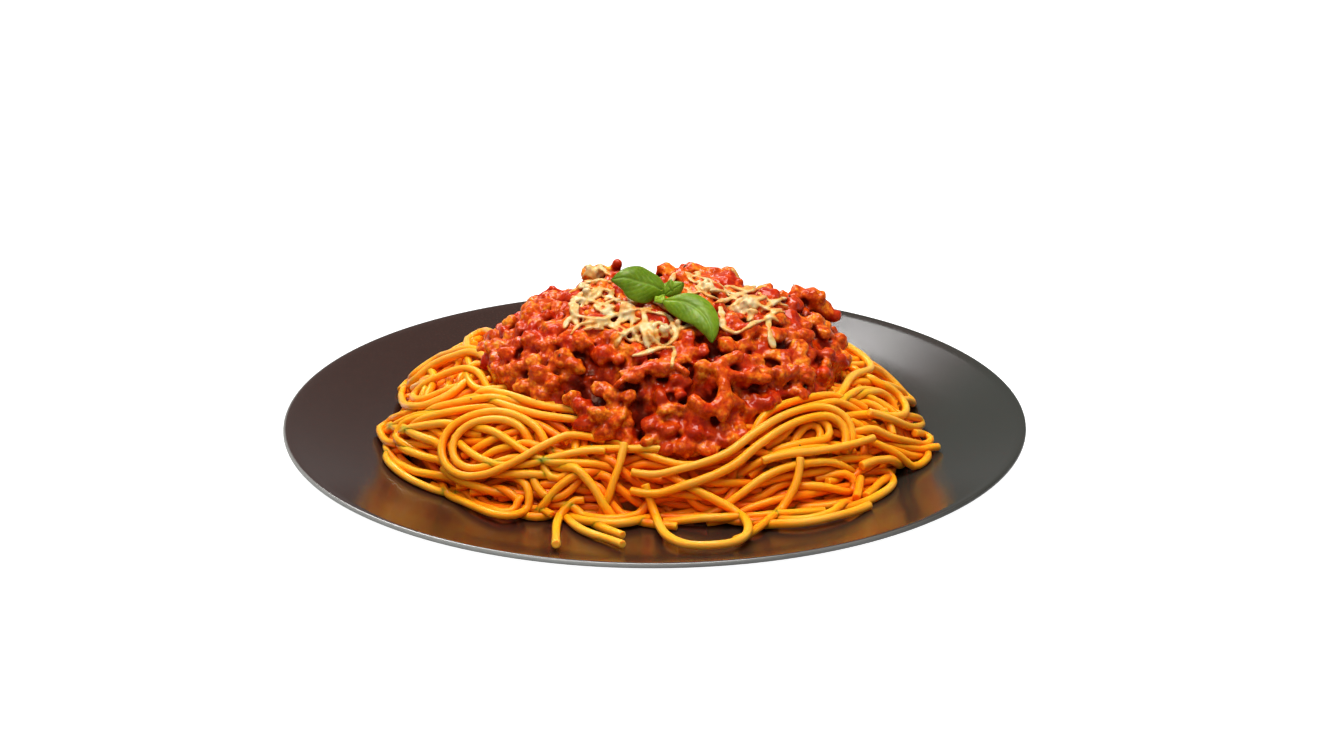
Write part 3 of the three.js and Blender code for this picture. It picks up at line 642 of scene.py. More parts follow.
def noodle_heap(settings):
    """All noodles as lines in space: the hidden layers, the sides and back, then the shown ones."""
    random = np.random.default_rng(settings.seed)
    heap = Noodles(settings.thickness / METRES, NOODLE_STEP)
    view = View()
    tones = lambda: random.uniform()
    tuck = 9.0
    shown_side = lambda angle: math.sin(angle) < 0.15
    for i in range(settings.rings):
        turn = i * GOLDEN_ANGLE + random.uniform(-0.2, 0.2)
        level = 0.70 + 0.24 * ((i * 0.618034) % 1)
        span = random.uniform(0.9, 2.0) * random.choice([-1, 1])
        plan = ring_plan(random, turn, level, span, random.uniform(0.02, 0.06))
        heap.lay_beside(outside_sauce(plan, tuck), random.choice([1, 1, 2]), tones)
    for i in range(settings.turns):
        turn = i * GOLDEN_ANGLE + 0.5
        if shown_side(turn) and i % 3:
            continue
        radius = random.uniform(5.5, 11)
        plan = turn_plan(
            random, turn, random.uniform(0.9, 1.02), radius, random.uniform(-1.0, 1.0),
            random.uniform(28, 52)
        )
        heap.lay_beside(outside_sauce(plan, tuck), random.choice([1, 2, 2, 3]), tones)
    for i in range(settings.curls):
        turn = i * GOLDEN_ANGLE + 1.1
        if shown_side(turn):
            continue
        size = (random.uniform(12, 20), random.uniform(6.5, 10))
        plan = curl_plan(
            random, turn, random.uniform(0.82, 0.93), size, turn + math.pi / 2 + random.uniform(-0.5, 0.5)
        )
        heap.lay_beside(outside_sauce(plan, tuck), random.choice([1, 1, 2]), tones)
    for i in range(settings.rings // 2):
        turn = i * GOLDEN_ANGLE + 0.9
        if shown_side(turn):
            continue
        plan = ring_plan(
            random, turn, random.uniform(0.72, 0.96), random.uniform(0.7, 1.5), random.uniform(0.03, 0.08)
        )
        heap.lay_beside(outside_sauce(plan, tuck), random.choice([1, 2, 3]), tones)
    for i in range(settings.rings // 2):
        turn = i * GOLDEN_ANGLE + 0.3
        if shown_side(turn):
            continue
        plan = ring_plan(random, turn, random.uniform(0.66, 0.76), random.uniform(0.5, 0.9), 0.03)
        heap.lay_beside(outside_sauce(plan, tuck), 2, tones)
    for pixels, count, free in SHOWN_NOODLES.values():
        line = np.array([view.hit(px, py, heap.outside) for px, py in smooth_line(pixels, 3.0)])
        heap.lay_beside(line, count, tones, free)
    heap.settle(view, settings.settling)
    return heap


def sauce_bed(x, y):
    """Height of the mound on which the lumps of mince lie."""
    rise = np.clip(1 - sauce_share(x, y) ** 4, 0, 1) ** 0.7
    shoulder = SHOULDER_RISE * np.exp(-((x - SHOULDER_X) ** 2 + (y - SHOULDER_Y) ** 2) / SHOULDER_AREA)
    return heap_top(x, y, SAUCE_BED_INSET) + SAUCE_DEPTH * rise + shoulder


# The top edge of the sauce in the picture, which no lump passes
SAUCE_OUTLINE = [
    (474, 350), (480, 342), (500, 328), (520, 312), (536, 295), (557, 292), (578, 290), (582, 274),
    (600, 266), (610, 264), (617, 259), (625, 264), (686, 264), (718, 269), (736, 278), (740, 289),
    (766, 287),
    (783, 295), (805, 289), (820, 296), (836, 310), (841, 330), (850, 342), (854, 356),
]

# The bottom edge of the sauce in the picture, below which only noodles show
SAUCE_FOOT = [
    (474, 374), (490, 380), (508, 394), (530, 407), (556, 408), (565, 436), (590, 449), (626, 447),
    (636, 442), (650, 454), (678, 464), (706, 462), (724, 452), (744, 450), (750, 424), (756, 410),
    (776, 405), (800, 401), (826, 395), (850, 378), (858, 356),
]

# Lumps that the picture shows, back to front: its middle, half its width and half its height in pixels,
# its kind, and how high it stands over the sauce in millimetres.
SHOWN_LUMPS = [
    (552, 298, 15, 6, "red", 0.6), (536, 306, 8, 8, "meat", 0.5), (580, 299, 8, 6, "meat", 0.5),
    (589, 279, 9, 8, "pale", 2.0), (602, 276, 9, 8, "pale", 2.0), (614, 277, 8, 7, "meat", 1.0),
    (606, 284, 9, 7, "meat", 1.0),
    (617, 268, 6, 6, "tomato", 1.6),
    (640, 278, 10, 7, "meat", 0.5), (664, 273, 11, 6, "orange", 1.5), (691, 273, 12, 7, "orange", 1.6),
    (692, 281, 12, 8, "meat", 0.8), (676, 277, 10, 6, "meat", 0.6), (703, 279, 9, 8, "orange", 1.0),
    (714, 279, 12, 8, "orange", 1.5), (720, 286, 10, 8, "orange", 1.0), (728, 283, 9, 10, "orange", 1.8),
    (746, 294, 8, 6, "meat", 0.5),
    (766, 294, 10, 7, "orange", 1.0), (782, 301, 8, 7, "orange", 1.0), (799, 299, 10, 9, "orange", 1.8),
    (813, 302, 13, 9, "meat", 1.8), (818, 311, 12, 9, "orange", 1.4), (828, 316, 8, 9, "orange", 1.5),
    (834, 322, 6, 10, "tomato", 2.2),
    (530, 313, 9, 9, "meat", 1.0), (545, 310, 10, 8, "meat", 1.4), (560, 312, 10, 9, "meat", 1.2),
    (512, 327, 9, 8, "orange", 1.6), (497, 338, 9, 6, "meat", 1.0), (484, 351, 9, 7, "meat", 1.2),
    (497, 352, 13, 8, "meat", 1.8), (486, 363, 9, 7, "red", 0.8), (508, 360, 11, 7, "red", 1.6),
    (536, 327, 10, 8, "meat", 0.8), (552, 329, 10, 8, "meat", 1.2), (531, 347, 10, 10, "red", 1.6),
    (545, 349, 9, 9, "meat", 1.2), (600, 305, 10, 7, "meat", 0.0), (590, 310, 8, 7, "meat", 0.3),
    (620, 301, 9, 10, "tomato", 3.0), (640, 300, 9, 8, "red", 0.0), (594, 334, 22, 9, "tomato", 1.4),
    (568, 349, 11, 9, "red", 2.2), (583, 352, 9, 12, "meat", 2.4), (562, 367, 12, 11, "meat", 2.4),
    (577, 372, 9, 9, "meat", 1.8), (603, 360, 14, 11, "red", 1.8), (620, 364, 8, 8, "meat", 1.2),
    (630, 332, 9, 7, "orange", 0.0), (632, 352, 9, 7, "orange", 0.4), (655, 352, 9, 7, "meat", 0.2),
    (660, 324, 10, 7, "red", 0.0), (688, 338, 10, 9, "meat", 0.8), (706, 322, 9, 9, "red", 0.2),
    (690, 355, 8, 7, "orange", 0.4), (728, 352, 11, 11, "orange", 1.6), (747, 338, 13, 9, "red", 2.0),
    (770, 341, 18, 9, "orange", 1.8), (792, 330, 9, 8, "red", 0.6), (806, 312, 11, 9, "orange", 1.2),
    (814, 326, 13, 8, "orange", 1.6), (806, 343, 9, 9, "meat", 2.0), (822, 340, 9, 9, "meat", 2.0),
    (838, 347, 11, 11, "meat", 1.8), (844, 362, 8, 8, "meat", 1.2), (826, 360, 10, 9, "red", 1.4),
    (519, 374, 10, 9, "meat", 1.6), (534, 366, 10, 8, "meat", 1.6), (541, 381, 12, 11, "meat", 2.2),
    (523, 390, 10, 9, "meat", 1.4), (540, 398, 11, 8, "meat", 1.0), (553, 388, 9, 10, "meat", 1.4),
    (632, 384, 16, 7, "meat", 3.0), (658, 376, 18, 7, "meat", 3.2), (680, 384, 12, 7, "red", 1.0),
    (701, 376, 12, 10, "orange", 2.0), (756, 364, 10, 7, "meat", 1.4), (738, 372, 9, 7, "red", 1.4),
    (774, 358, 10, 7, "orange", 0.6), (801, 366, 10, 8, "meat", 2.2), (780, 382, 9, 11, "meat", 2.4),
    (793, 378, 8, 9, "meat", 2.0), (806, 382, 10, 9, "meat", 2.0), (822, 376, 9, 8, "red", 1.0),
    (750, 384, 20, 7, "red", 2.0), (774, 399, 10, 6, "red", 0.6), (601, 393, 10, 8, "meat", 1.6),
    (613, 402, 10, 9, "meat", 2.0), (628, 404, 9, 9, "meat", 1.8), (622, 418, 10, 7, "orange", 1.0),
    (572, 409, 9, 8, "meat", 3.4), (582, 417, 12, 9, "red", 3.6), (600, 424, 13, 8, "meat", 3.6),
    (617, 431, 10, 7, "orange", 3.2), (584, 432, 12, 8, "red", 2.2), (603, 439, 12, 7, "meat", 2.0),
    (661, 402, 9, 8, "red", 1.4), (668, 414, 8, 8, "orange", 1.2), (708, 404, 5, 5, "orange", -1.2),
    (650, 428, 9, 8, "red", 1.2), (664, 436, 12, 9, "red", 1.6), (650, 444, 10, 6, "orange", 1.0),
    (699, 421, 19, 17, "tomato", 1.0), (692, 438, 16, 10, "tomato", 0.8), (686, 452, 15, 7, "orange", 1.4),
    (709, 438, 11, 8, "red", 1.2), (709, 453, 12, 7, "orange", 1.4), (668, 452, 10, 6, "red", 1.0),
    (734, 410, 9, 12, "red", 1.2), (722, 434, 8, 10, "red", 1.4), (738, 430, 8, 10, "meat", 1.0),
    (732, 446, 9, 8, "orange", 1.6), (722, 446, 9, 8, "red", 1.6), (741, 440, 8, 8, "red", 1.2),
    (756, 404, 8, 7, "red", 0.2),
]

# Deep gaps between the lumps: middle and half width in pixels, and depth in millimetres
SHOWN_HOLLOWS = [
    (576, 392, 15, 6.0), (600, 380, 12, 5.0), (644, 412, 10, 7.0), (644, 426, 8, 5.0), (711, 344, 8, 6.0),
    (714, 362, 8, 6.0), (684, 372, 6, 4.0), (704, 398, 10, 6.0), (772, 370, 7, 4.0), (790, 398, 8, 4.0),
    (822, 392, 8, 3.0), (590, 366, 6, 4.0), (520, 340, 6, 3.5), (640, 396, 7, 4.0), (684, 404, 6, 4.0),
]

# Thick sauce that hangs in strings between lumps: points of the picture, and half its width in pixels
SAUCE_STRINGS = [
    ([(738, 363), (726, 368), (717, 376), (722, 384), (724, 396), (720, 408), (713, 416), (704, 416),
      (694, 408)], 6.6),
    ([(717, 376), (730, 380), (750, 384), (768, 386)], 5.0),
    ([(724, 392), (728, 408), (722, 424)], 5.6),
    ([(616, 392), (634, 380), (654, 371), (676, 372), (688, 380)], 3.5),
    ([(556, 349), (566, 341), (580, 341), (590, 350)], 4.0),
]


class Lumps:
    """The balls that the mince and the thick sauce are joined from."""

    KINDS = {  # how much of a lump is sauce, and how orange or pale it is
        "meat": (0.25, 0.35), "orange": (0.6, 0.55), "pale": (0.0, 0.95), "red": (0.85, 0.15),
        "tomato": (1.0, 0.0),
    }

    def __init__(self, seed):
        self.random = np.random.default_rng(seed)
        self.middles, self.sizes, self.coats, self.tones = [], [], [], []

    def ball(self, middle, size, coat, tone):
        self.middles.append(middle)
        self.sizes.append(size)
        self.coats.append(coat)
        self.tones.append(tone)

    def any_way(self):
        way = self.random.normal(size=3)
        return way / np.linalg.norm(way)

    def string(self, middle, half, width, coat, tone):
        """A short bent string of minced meat, wound part of the way round a lump."""
        random = self.random
        along = self.any_way()
        aside = np.cross(along, self.any_way())
        aside /= np.linalg.norm(aside)
        off = np.cross(along, aside) * random.uniform(-0.5, 0.5)
        span = random.uniform(1.0, 2.6)
        count = max(3, int(span * np.mean(half) / (width * 0.8)))
        for turn in np.linspace(0, span, count):
            way = along * math.cos(turn) + aside * math.sin(turn) + off
            spot = middle + way * half * 0.66
            self.ball(spot, np.full(3, width * random.uniform(0.8, 1.2)), coat, tone)

    def lump(self, middle, half, kind):
        """A crumb of mince is a core wound with short strings of meat; thick sauce is smoother."""
        coat, tone = self.KINDS[kind]
        random = self.random
        half = np.asarray(half, float)
        size = half.mean()
        tone = tone + random.uniform(-0.12, 0.12)
        if kind == "tomato":
            for _ in range(3):
                self.ball(
                    middle + self.any_way() * half * 0.12, half * random.uniform(0.85, 1.0, 3), coat, tone
                )
            return
        minced = kind in ("meat", "pale")
        self.ball(middle, half * (0.80 if minced else 0.85), coat, tone)
        for _ in range(int((2.5 if minced else 2.0) * max(1.0, size / USUAL_LUMP))):
            width = min(random.uniform(1.1, 1.8), 0.5 * size) * (1.0 if minced else 1.2)
            self.string(middle, half, width, coat, tone + random.uniform(-0.2, 0.2))
        for _ in range(int((17 if minced else 10) * (size / USUAL_LUMP) ** 2)):
            grain = min(random.uniform(0.9, 1.9), 0.6 * size)
            spot = middle + self.any_way() * (half * random.uniform(0.85, 1.08) - grain * 0.8)
            self.ball(spot, grain * random.uniform(0.7, 1.3, 3), coat, tone + random.uniform(-0.3, 0.3))


def hollow_bed(view):
    """The mound of sauce with the shown gaps sunk into it: (upper bed, how deep each place is sunk)."""
    bed = Grid(sauce_bed)
    sunk = np.zeros_like(bed.z)
    for px, py, half, depth in SHOWN_HOLLOWS:
        x, y, _ = view.hit(px, py, bed)
        spread = half / PIXELS_PER_MM
        sunk = np.maximum(sunk, depth * np.exp(-((bed.x - x) ** 2 + (bed.y - y) ** 2) / (1.2 * spread**2)))
    px, py = view.pixel(np.stack([bed.x, bed.y, bed.z], -1))
    foot = np.array(SAUCE_FOOT, float)
    below = (py - np.interp(px, foot[:, 0], foot[:, 1])) / PIXELS_PER_MM
    front = bed.y < HEAP_MIDDLE_Y
    sunk = np.where(front, np.maximum(sunk, FOOT_SINK * np.clip(below / 2 + 0.5, 0, 1)), sunk)
    return bed, sunk


def sauce_lumps(settings, view, bed, sunk):
    """Shown lumps by the picture, then others all over the mound, clear of the shown outline."""
    lumps = Lumps(settings.seed)
    random = lumps.random
    outline = np.array(SAUCE_OUTLINE, float)
    taken = []
    for px, py, wide, high, kind, lift in SHOWN_LUMPS:
        middle = view.hit(px, py, bed)
        wide, high = np.array((wide, high)) * np.linalg.norm(middle - view.at) / view.focal
        middle = middle + (0, 0, lift) + view.forward * high * 0.4
        lumps.lump(middle, (wide, (wide + high) / 2, high), kind)
        taken.append((*middle[:2], (wide + high) / 2))
    for line, half in SAUCE_STRINGS:
        path = np.array([view.hit(px, py, bed) for px, py in smooth_line(line, 2.0)])
        for spot in path:
            size = half / PIXELS_PER_MM * random.uniform(0.8, 1.1)
            lumps.ball(
                spot + (0, 0, STRING_LIFT) - view.forward * STRING_FORWARD, np.full(3, size), 0.75, 0.5
            )
    for _ in range(settings.tries):
        angle = random.uniform(0, 2 * math.pi)
        share = math.sqrt(random.uniform(0, 0.97))
        radius = float(sauce_radius(angle)) * share
        x, y = radius * math.cos(angle), HEAP_MIDDLE_Y + radius * math.sin(angle)
        half = random.choice(LUMP_SIZES)
        if any((x - a) ** 2 + (y - b) ** 2 < (0.7 * (half + c)) ** 2 for a, b, c in taken):
            continue
        if bed.read(sunk, np.array(x), np.array(y)) > MOST_SUNK:
            continue
        middle = np.array([x, y, float(bed.height(x, y)) + random.uniform(-0.1, 0.35) * half])
        px, py = view.pixel(middle + (0, 0, half * 0.95))
        lowest = np.interp(px, outline[:, 0], outline[:, 1])
        middle[2] -= max(0, (lowest - py) / PIXELS_PER_MM)
        kind = random.choice(LUMP_KINDS)
        lumps.lump(middle, half * random.uniform(0.8, 1.25, 3), kind)
        taken.append((x, y, half))
    for _ in range(settings.crumbs):
        angle = random.uniform(0, 2 * math.pi)
        radius = float(sauce_radius(angle)) * math.sqrt(random.uniform(0, 0.98))
        x, y = radius * math.cos(angle), HEAP_MIDDLE_Y + radius * math.sin(angle)
        depth = float(bed.read(sunk, np.array(x), np.array(y)))
        if depth > 0.6 * FOOT_SINK:
            continue
        half = random.uniform(0.9, 2.0)
        z = float(bed.height(x, y)) - SAUCE_SINK - depth + 0.35 * half
        coat, tone = lumps.KINDS[random.choice(["meat", "orange", "red"])]
        lumps.ball(np.array([x, y, z]), half * random.uniform(0.7, 1.3, 3), max(coat, 0.4), tone)
    return lumps


def new_mesh(name, vertices, faces=(), edges=()):
    """A mesh object from points in millimetres."""
    mesh = bpy.data.meshes.new(name)
    mesh.from_pydata((np.asarray(vertices) * METRES).tolist(), list(edges), list(faces))
    mesh.update()
    piece = bpy.data.objects.new(name, mesh)
    bpy.context.scene.collection.objects.link(piece)
    return piece


def add_values(mesh, name, values):
    """A number on each point of a mesh."""
    layer = mesh.attributes.new(name, "FLOAT", "POINT")
    layer.data.foreach_set("value", np.asarray(values, np.float32))


def made_plain(piece):
    """Turns a piece with modifiers into a plain mesh."""
    graph = bpy.context.evaluated_depsgraph_get()
    mesh = bpy.data.meshes.new_from_object(
        piece.evaluated_get(graph), preserve_all_data_layers=True, depsgraph=graph
    )
    piece.modifiers.clear()
    old = piece.data
    piece.data = mesh
    mesh.name = piece.name
    bpy.data.meshes.remove(old)
    return piece


def finish_piece(piece, slot, *nodes):
    """Rides the plate's body, in place of some of the solids; the slot is not used."""
    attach(piece, BODY)
    if nodes:
        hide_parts(*nodes)
    return piece


class Tree:
    """A short way to build a node tree."""

    def __init__(self, tree):
        self.tree = tree

    def add(self, kind, **values):
        node = self.tree.nodes.new(kind)
        for name, value in values.items():
            setattr(node, name, value)
        return node

    def link(self, source, target):
        self.tree.links.new(source, target)

    def set(self, node, **inputs):
        for name, value in inputs.items():
            node.inputs[name.replace("_", " ")].default_value = value


def new_material(name):
    """An empty material with a Principled shader: (material, tree, shader)."""
    material = bpy.data.materials.new(name)
    material.use_nodes = True
    tree = Tree(material.node_tree)
    shader = material.node_tree.nodes["Principled BSDF"]
    return material, tree, shader


def colour_ramp(tree, source, stops):
    """Colours along a value from 0 to 1."""
    ramp = tree.add("ShaderNodeValToRGB")
    elements = ramp.color_ramp.elements
    while len(elements) < len(stops):
        elements.new(0.5)
    for element, (place, colour) in zip(elements, stops):
        element.position = place
        element.color = (*colour, 1)
    tree.link(source, ramp.inputs[0])
    return ramp.outputs[0]


def math_node(tree, operation, a, b=None, c=None, clamp=False):
    """One sum; a, b and c are sockets or numbers."""
    node = tree.add("ShaderNodeMath", operation=operation, use_clamp=clamp)
    for socket, value in zip(node.inputs, (a, b, c)):
        if value is None:
            continue
        if isinstance(value, (int, float)):
            socket.default_value = value
        else:
            tree.link(value, socket)
    return node.outputs[0]


def mix_colours(tree, share, a, b, blend="MIX"):
    """Two colours mixed; each is a socket or a colour."""
    node = tree.add("ShaderNodeMix", data_type="RGBA", blend_type=blend)
    for socket, value in ((node.inputs[0], share), (node.inputs[6], a), (node.inputs[7], b)):
        if isinstance(value, (int, float)):
            socket.default_value = value
        elif isinstance(value, tuple):
            socket.default_value = (*value, 1)
        else:
            tree.link(value, socket)
    return node.outputs[2]


def uneven_group():
    """The soft uneven field that every finish uses, as one shader node group; its scale is per metre."""
    group = bpy.data.node_groups.get("uneven")
    if group:
        return group
    group = bpy.data.node_groups.new("uneven", "ShaderNodeTree")
    face = group.interface
    for name, value in (("Scale", 100.0), ("Detail", 3.0), ("Roughness", 0.5)):
        face.new_socket(name, in_out="INPUT", socket_type="NodeSocketFloat").default_value = value
    face.new_socket("Value", in_out="OUTPUT", socket_type="NodeSocketFloat")
    tree = Tree(group)
    start, end = tree.add("NodeGroupInput"), tree.add("NodeGroupOutput")
    place = tree.add("ShaderNodeTexCoord")
    node = tree.add("ShaderNodeTexNoise")
    for name in ("Scale", "Detail", "Roughness"):
        tree.link(start.outputs[name], node.inputs[name])
    tree.link(place.outputs["Object"], node.inputs["Vector"])
    tree.link(node.outputs[0], end.inputs["Value"])
    return group


def noise_value(tree, scale, detail=3.0, roughness=0.5):
    """The uneven field placed in a material with its own values."""
    node = tree.add("ShaderNodeGroup", node_tree=uneven_group())
    tree.set(node, Scale=scale, Detail=detail, Roughness=roughness)
    return node.outputs["Value"]


def grain_value(tree, scale):
    """Rounded grains, 1 in their middles and 0 between them; the scale is per metre."""
    place = tree.add("ShaderNodeTexCoord")
    node = tree.add("ShaderNodeTexVoronoi", feature="SMOOTH_F1")
    tree.set(node, Scale=scale, Smoothness=0.4, Randomness=1.0)
    tree.link(place.outputs["Object"], node.inputs["Vector"])
    return math_node(tree, "SUBTRACT", 1.0, node.outputs["Distance"], clamp=True)


def attribute_value(tree, name):
    node = tree.add("ShaderNodeAttribute", attribute_name=name)
    return node.outputs["Fac"]


def bump(tree, shader, height, distance, strength=1.0):
    """Small relief on a shader; the distance is in millimetres."""
    node = tree.add("ShaderNodeBump")
    tree.set(node, Strength=strength, Distance=distance * METRES)
    tree.link(height, node.inputs["Height"])
    tree.link(node.outputs[0], shader.inputs["Normal"])


def plate_finish():
    """Dark grey stoneware with a satin glaze and fine specks, a painted reflection of the food as warm brown
    on its left half, and a painted highlight as a pale lip on the left.
    """
    material, tree, shader = new_material("plate_glaze")
    fine = noise_value(tree, 2600, detail=2, roughness=0.6)
    broad = noise_value(tree, 14, detail=3)
    base = colour_ramp(tree, fine, GLAZE_COLOURS)
    place = tree.add("ShaderNodeTexCoord")
    parts = tree.add("ShaderNodeSeparateXYZ")
    tree.link(place.outputs["Object"], parts.inputs[0])
    # Painted reflection: the warm brown glaze stays on the left half, where the food would show in it, and
    # turns neutral grey towards the right
    patch = math_node(tree, "SUBTRACT", broad, 0.35)
    less_painted_warmth = math_node(tree, "MULTIPLY_ADD", parts.outputs["X"], 6.0, patch, clamp=True)
    colour = mix_colours(tree, less_painted_warmth, base, GLAZE_WITHOUT_PAINTED_WARMTH)
    flat = tree.add("ShaderNodeCombineXYZ")
    tree.link(parts.outputs["X"], flat.inputs["X"])
    tree.link(parts.outputs["Y"], flat.inputs["Y"])
    length = tree.add("ShaderNodeVectorMath", operation="LENGTH")
    tree.link(flat.outputs[0], length.inputs[0])
    lip = math_node(tree, "MULTIPLY_ADD", length.outputs["Value"], 1.0 / METRES, 1.0 - RIM_RADIUS, clamp=True)
    # Painted highlight: the outer lip is painted pale grey on the left half
    lip_highlight = math_node(tree, "MULTIPLY", lip, math_node(tree, "SUBTRACT", 1.0, less_painted_warmth), clamp=True)
    colour = mix_colours(tree, lip_highlight, colour, PAINTED_LIP_HIGHLIGHT)
    tree.link(colour, shader.inputs["Base Color"])
    rough = math_node(tree, "MULTIPLY_ADD", fine, 0.1, 0.14)
    tree.link(rough, shader.inputs["Roughness"])
    tree.set(shader, IOR=1.58)
    bump(tree, shader, fine, 0.03, 0.5)
    return material


def noodle_finish():
    """Cooked noodle, pale gold where clean and orange where the sauce has stained it; painted shade makes it
    darker and redder in the gaps between noodles and near the plate.
    """
    material, tree, shader = new_material("noodle")
    tone = attribute_value(tree, "tone")
    stain = attribute_value(tree, "stain")
    gap = attribute_value(tree, "gap")
    patch = noise_value(tree, 70, detail=3)
    fine = noise_value(tree, 420, detail=2)
    wet = math_node(tree, "MULTIPLY_ADD", patch, 1.1, -0.55)
    # Painted shade: crowded points in the gaps between noodles move to the darker, redder colours
    shade = math_node(tree, "MULTIPLY_ADD", gap, 1.2, -0.1)
    share = math_node(tree, "ADD", math_node(tree, "ADD", stain, wet), shade, clamp=True)
    clean = colour_ramp(tree, share, CLEAN_NOODLE_COLOURS)
    yellow = colour_ramp(tree, share, YELLOW_NOODLE_COLOURS)
    colour = mix_colours(tree, tone, clean, yellow)
    tree.link(colour, shader.inputs["Base Color"])
    tree.set(shader, Roughness=0.28, IOR=1.4, Specular_IOR_Level=0.3, Specular_Tint=(1.0, 0.85, 0.6, 1))
    tree.set(shader, Subsurface_Weight=1.0, Subsurface_Scale=0.0015)
    shader.inputs["Subsurface Radius"].default_value = (1.0, 0.58, 0.3)
    bump(tree, shader, fine, 0.08, 0.5)
    return material


def sauce_finish():
    """Mince in tomato sauce: brown-orange grains, red where the sauce lies on them and gathers in the dips,
    and dark in the dips as painted shade.
    """
    material, tree, shader = new_material("meat_sauce")
    tone = attribute_value(tree, "tone")
    coat = attribute_value(tree, "coat")
    dip = attribute_value(tree, "dip")
    fine = noise_value(tree, 1100, detail=3, roughness=0.55)
    patch = noise_value(tree, 160, detail=3)
    grain = grain_value(tree, 520)
    uneven = math_node(
        tree, "ADD", math_node(tree, "MULTIPLY", fine, 1.1), math_node(tree, "MULTIPLY", grain, 0.7)
    )
    mixed = math_node(tree, "ADD", tone, math_node(tree, "SUBTRACT", uneven, 0.97), clamp=True)
    meat = colour_ramp(tree, mixed, MEAT_COLOURS)
    red = colour_ramp(tree, mixed, SAUCE_COLOURS)
    wet = math_node(tree, "MULTIPLY_ADD", patch, 2.4, -1.35)
    # The dip value, how hidden a point lies, moves the colour towards the red sauce that gathers there, and
    # then to near black as painted shade
    share = math_node(
        tree, "ADD", coat, math_node(tree, "ADD", wet, math_node(tree, "MULTIPLY", dip, 0.8)), clamp=True
    )
    colour = mix_colours(tree, share, meat, red)
    deep = math_node(tree, "MULTIPLY_ADD", dip, 1.45, -0.28, clamp=True)
    colour = mix_colours(tree, deep, colour, SAUCE_PAINTED_SHADE)
    tree.link(colour, shader.inputs["Base Color"])
    rough = math_node(tree, "MULTIPLY_ADD", share, -0.2, 0.42)
    tree.link(rough, shader.inputs["Roughness"])
    tree.set(shader, IOR=1.4, Specular_IOR_Level=0.2, Specular_Tint=(1.0, 0.55, 0.3, 1))
    gloss = math_node(tree, "MULTIPLY_ADD", deep, -0.28, 0.3, clamp=True)
    tree.link(gloss, shader.inputs["Coat Weight"])
    tree.set(shader, Coat_Roughness=0.06)
    relief = math_node(tree, "MULTIPLY", grain, math_node(tree, "SUBTRACT", 1.25, share))
    relief = math_node(tree, "ADD", relief, math_node(tree, "MULTIPLY", fine, 0.4))
    bump(tree, shader, relief, 0.5, 0.8)
    return material


def cheese_finish():
    """Grated hard cheese, softened: cream on top, yellow and orange where it lies in the sauce."""
    material, tree, shader = new_material("cheese")
    stain = attribute_value(tree, "stain")
    fine = noise_value(tree, 260, detail=3)
    share = math_node(tree, "ADD", stain, math_node(tree, "MULTIPLY_ADD", fine, 2.2, -1.1), clamp=True)
    colour = colour_ramp(tree, share, CHEESE_COLOURS)
    tree.link(colour, shader.inputs["Base Color"])
    tree.set(
        shader, Roughness=0.4, Specular_Tint=(1.0, 0.9, 0.7, 1), Subsurface_Weight=0.3,
        Subsurface_Scale=0.0015
    )
    bump(tree, shader, fine, 0.15, 0.5)
    return material


def leaf_finish():
    """Basil leaf: fresh green with paler veins and a soft shine."""
    material, tree, shader = new_material("basil")
    vein = attribute_value(tree, "vein")
    tone = attribute_value(tree, "tone")
    fine = noise_value(tree, 700, detail=3)
    patch = noise_value(tree, 120, detail=2)
    share = math_node(
        tree, "ADD", math_node(tree, "MULTIPLY", fine, 0.4), math_node(tree, "MULTIPLY", patch, 0.6)
    )
    green = colour_ramp(tree, share, LEAF_COLOURS)
    colour = mix_colours(tree, math_node(tree, "MULTIPLY", vein, 0.5), green, VEIN_GREEN)
    colour = mix_colours(tree, tone, colour, YOUNG_GREEN)
    tree.link(colour, shader.inputs["Base Color"])
    tree.set(shader, Roughness=0.38, IOR=1.42, Specular_IOR_Level=0.28, Specular_Tint=(0.95, 1.0, 0.7, 1))
    tree.set(shader, Subsurface_Weight=0.2, Subsurface_Scale=0.001, Coat_Weight=0.06, Coat_Roughness=0.25)
    bump(tree, shader, fine, 0.06, 0.5)
    return material


def fleck_finish():
    """Dried herbs, dark green to brown."""
    material, tree, shader = new_material("herb")
    fine = noise_value(tree, 400, detail=2)
    colour = colour_ramp(tree, fine, HERB_COLOURS)
    tree.link(colour, shader.inputs["Base Color"])
    tree.set(shader, Roughness=0.6)
    return material


def geometry_tree(name, *sockets):
    """A Geometry Nodes group with its named sockets and a finish: (group, tree, start)."""
    group = bpy.data.node_groups.new(name, "GeometryNodeTree")
    for title, kind in (*sockets, ("Finish", "NodeSocketMaterial")):
        group.interface.new_socket(title, in_out="INPUT", socket_type=kind)
    group.interface.new_socket("Mesh", in_out="OUTPUT", socket_type="NodeSocketGeometry")
    tree = Tree(group)
    return group, tree, tree.add("NodeGroupInput")


def end_tree(tree, start, source):
    """The last steps of a group: real meshes, smooth, with the finish."""
    real = tree.add("GeometryNodeRealizeInstances")
    smooth = tree.add("GeometryNodeSetShadeSmooth")
    paint = tree.add("GeometryNodeSetMaterial")
    end = tree.add("NodeGroupOutput")
    tree.link(source, real.inputs[0])
    tree.link(real.outputs[0], smooth.inputs[0])
    tree.link(smooth.outputs[0], paint.inputs["Geometry"])
    tree.link(start.outputs["Finish"], paint.inputs["Material"])
    tree.link(paint.outputs[0], end.inputs[0])


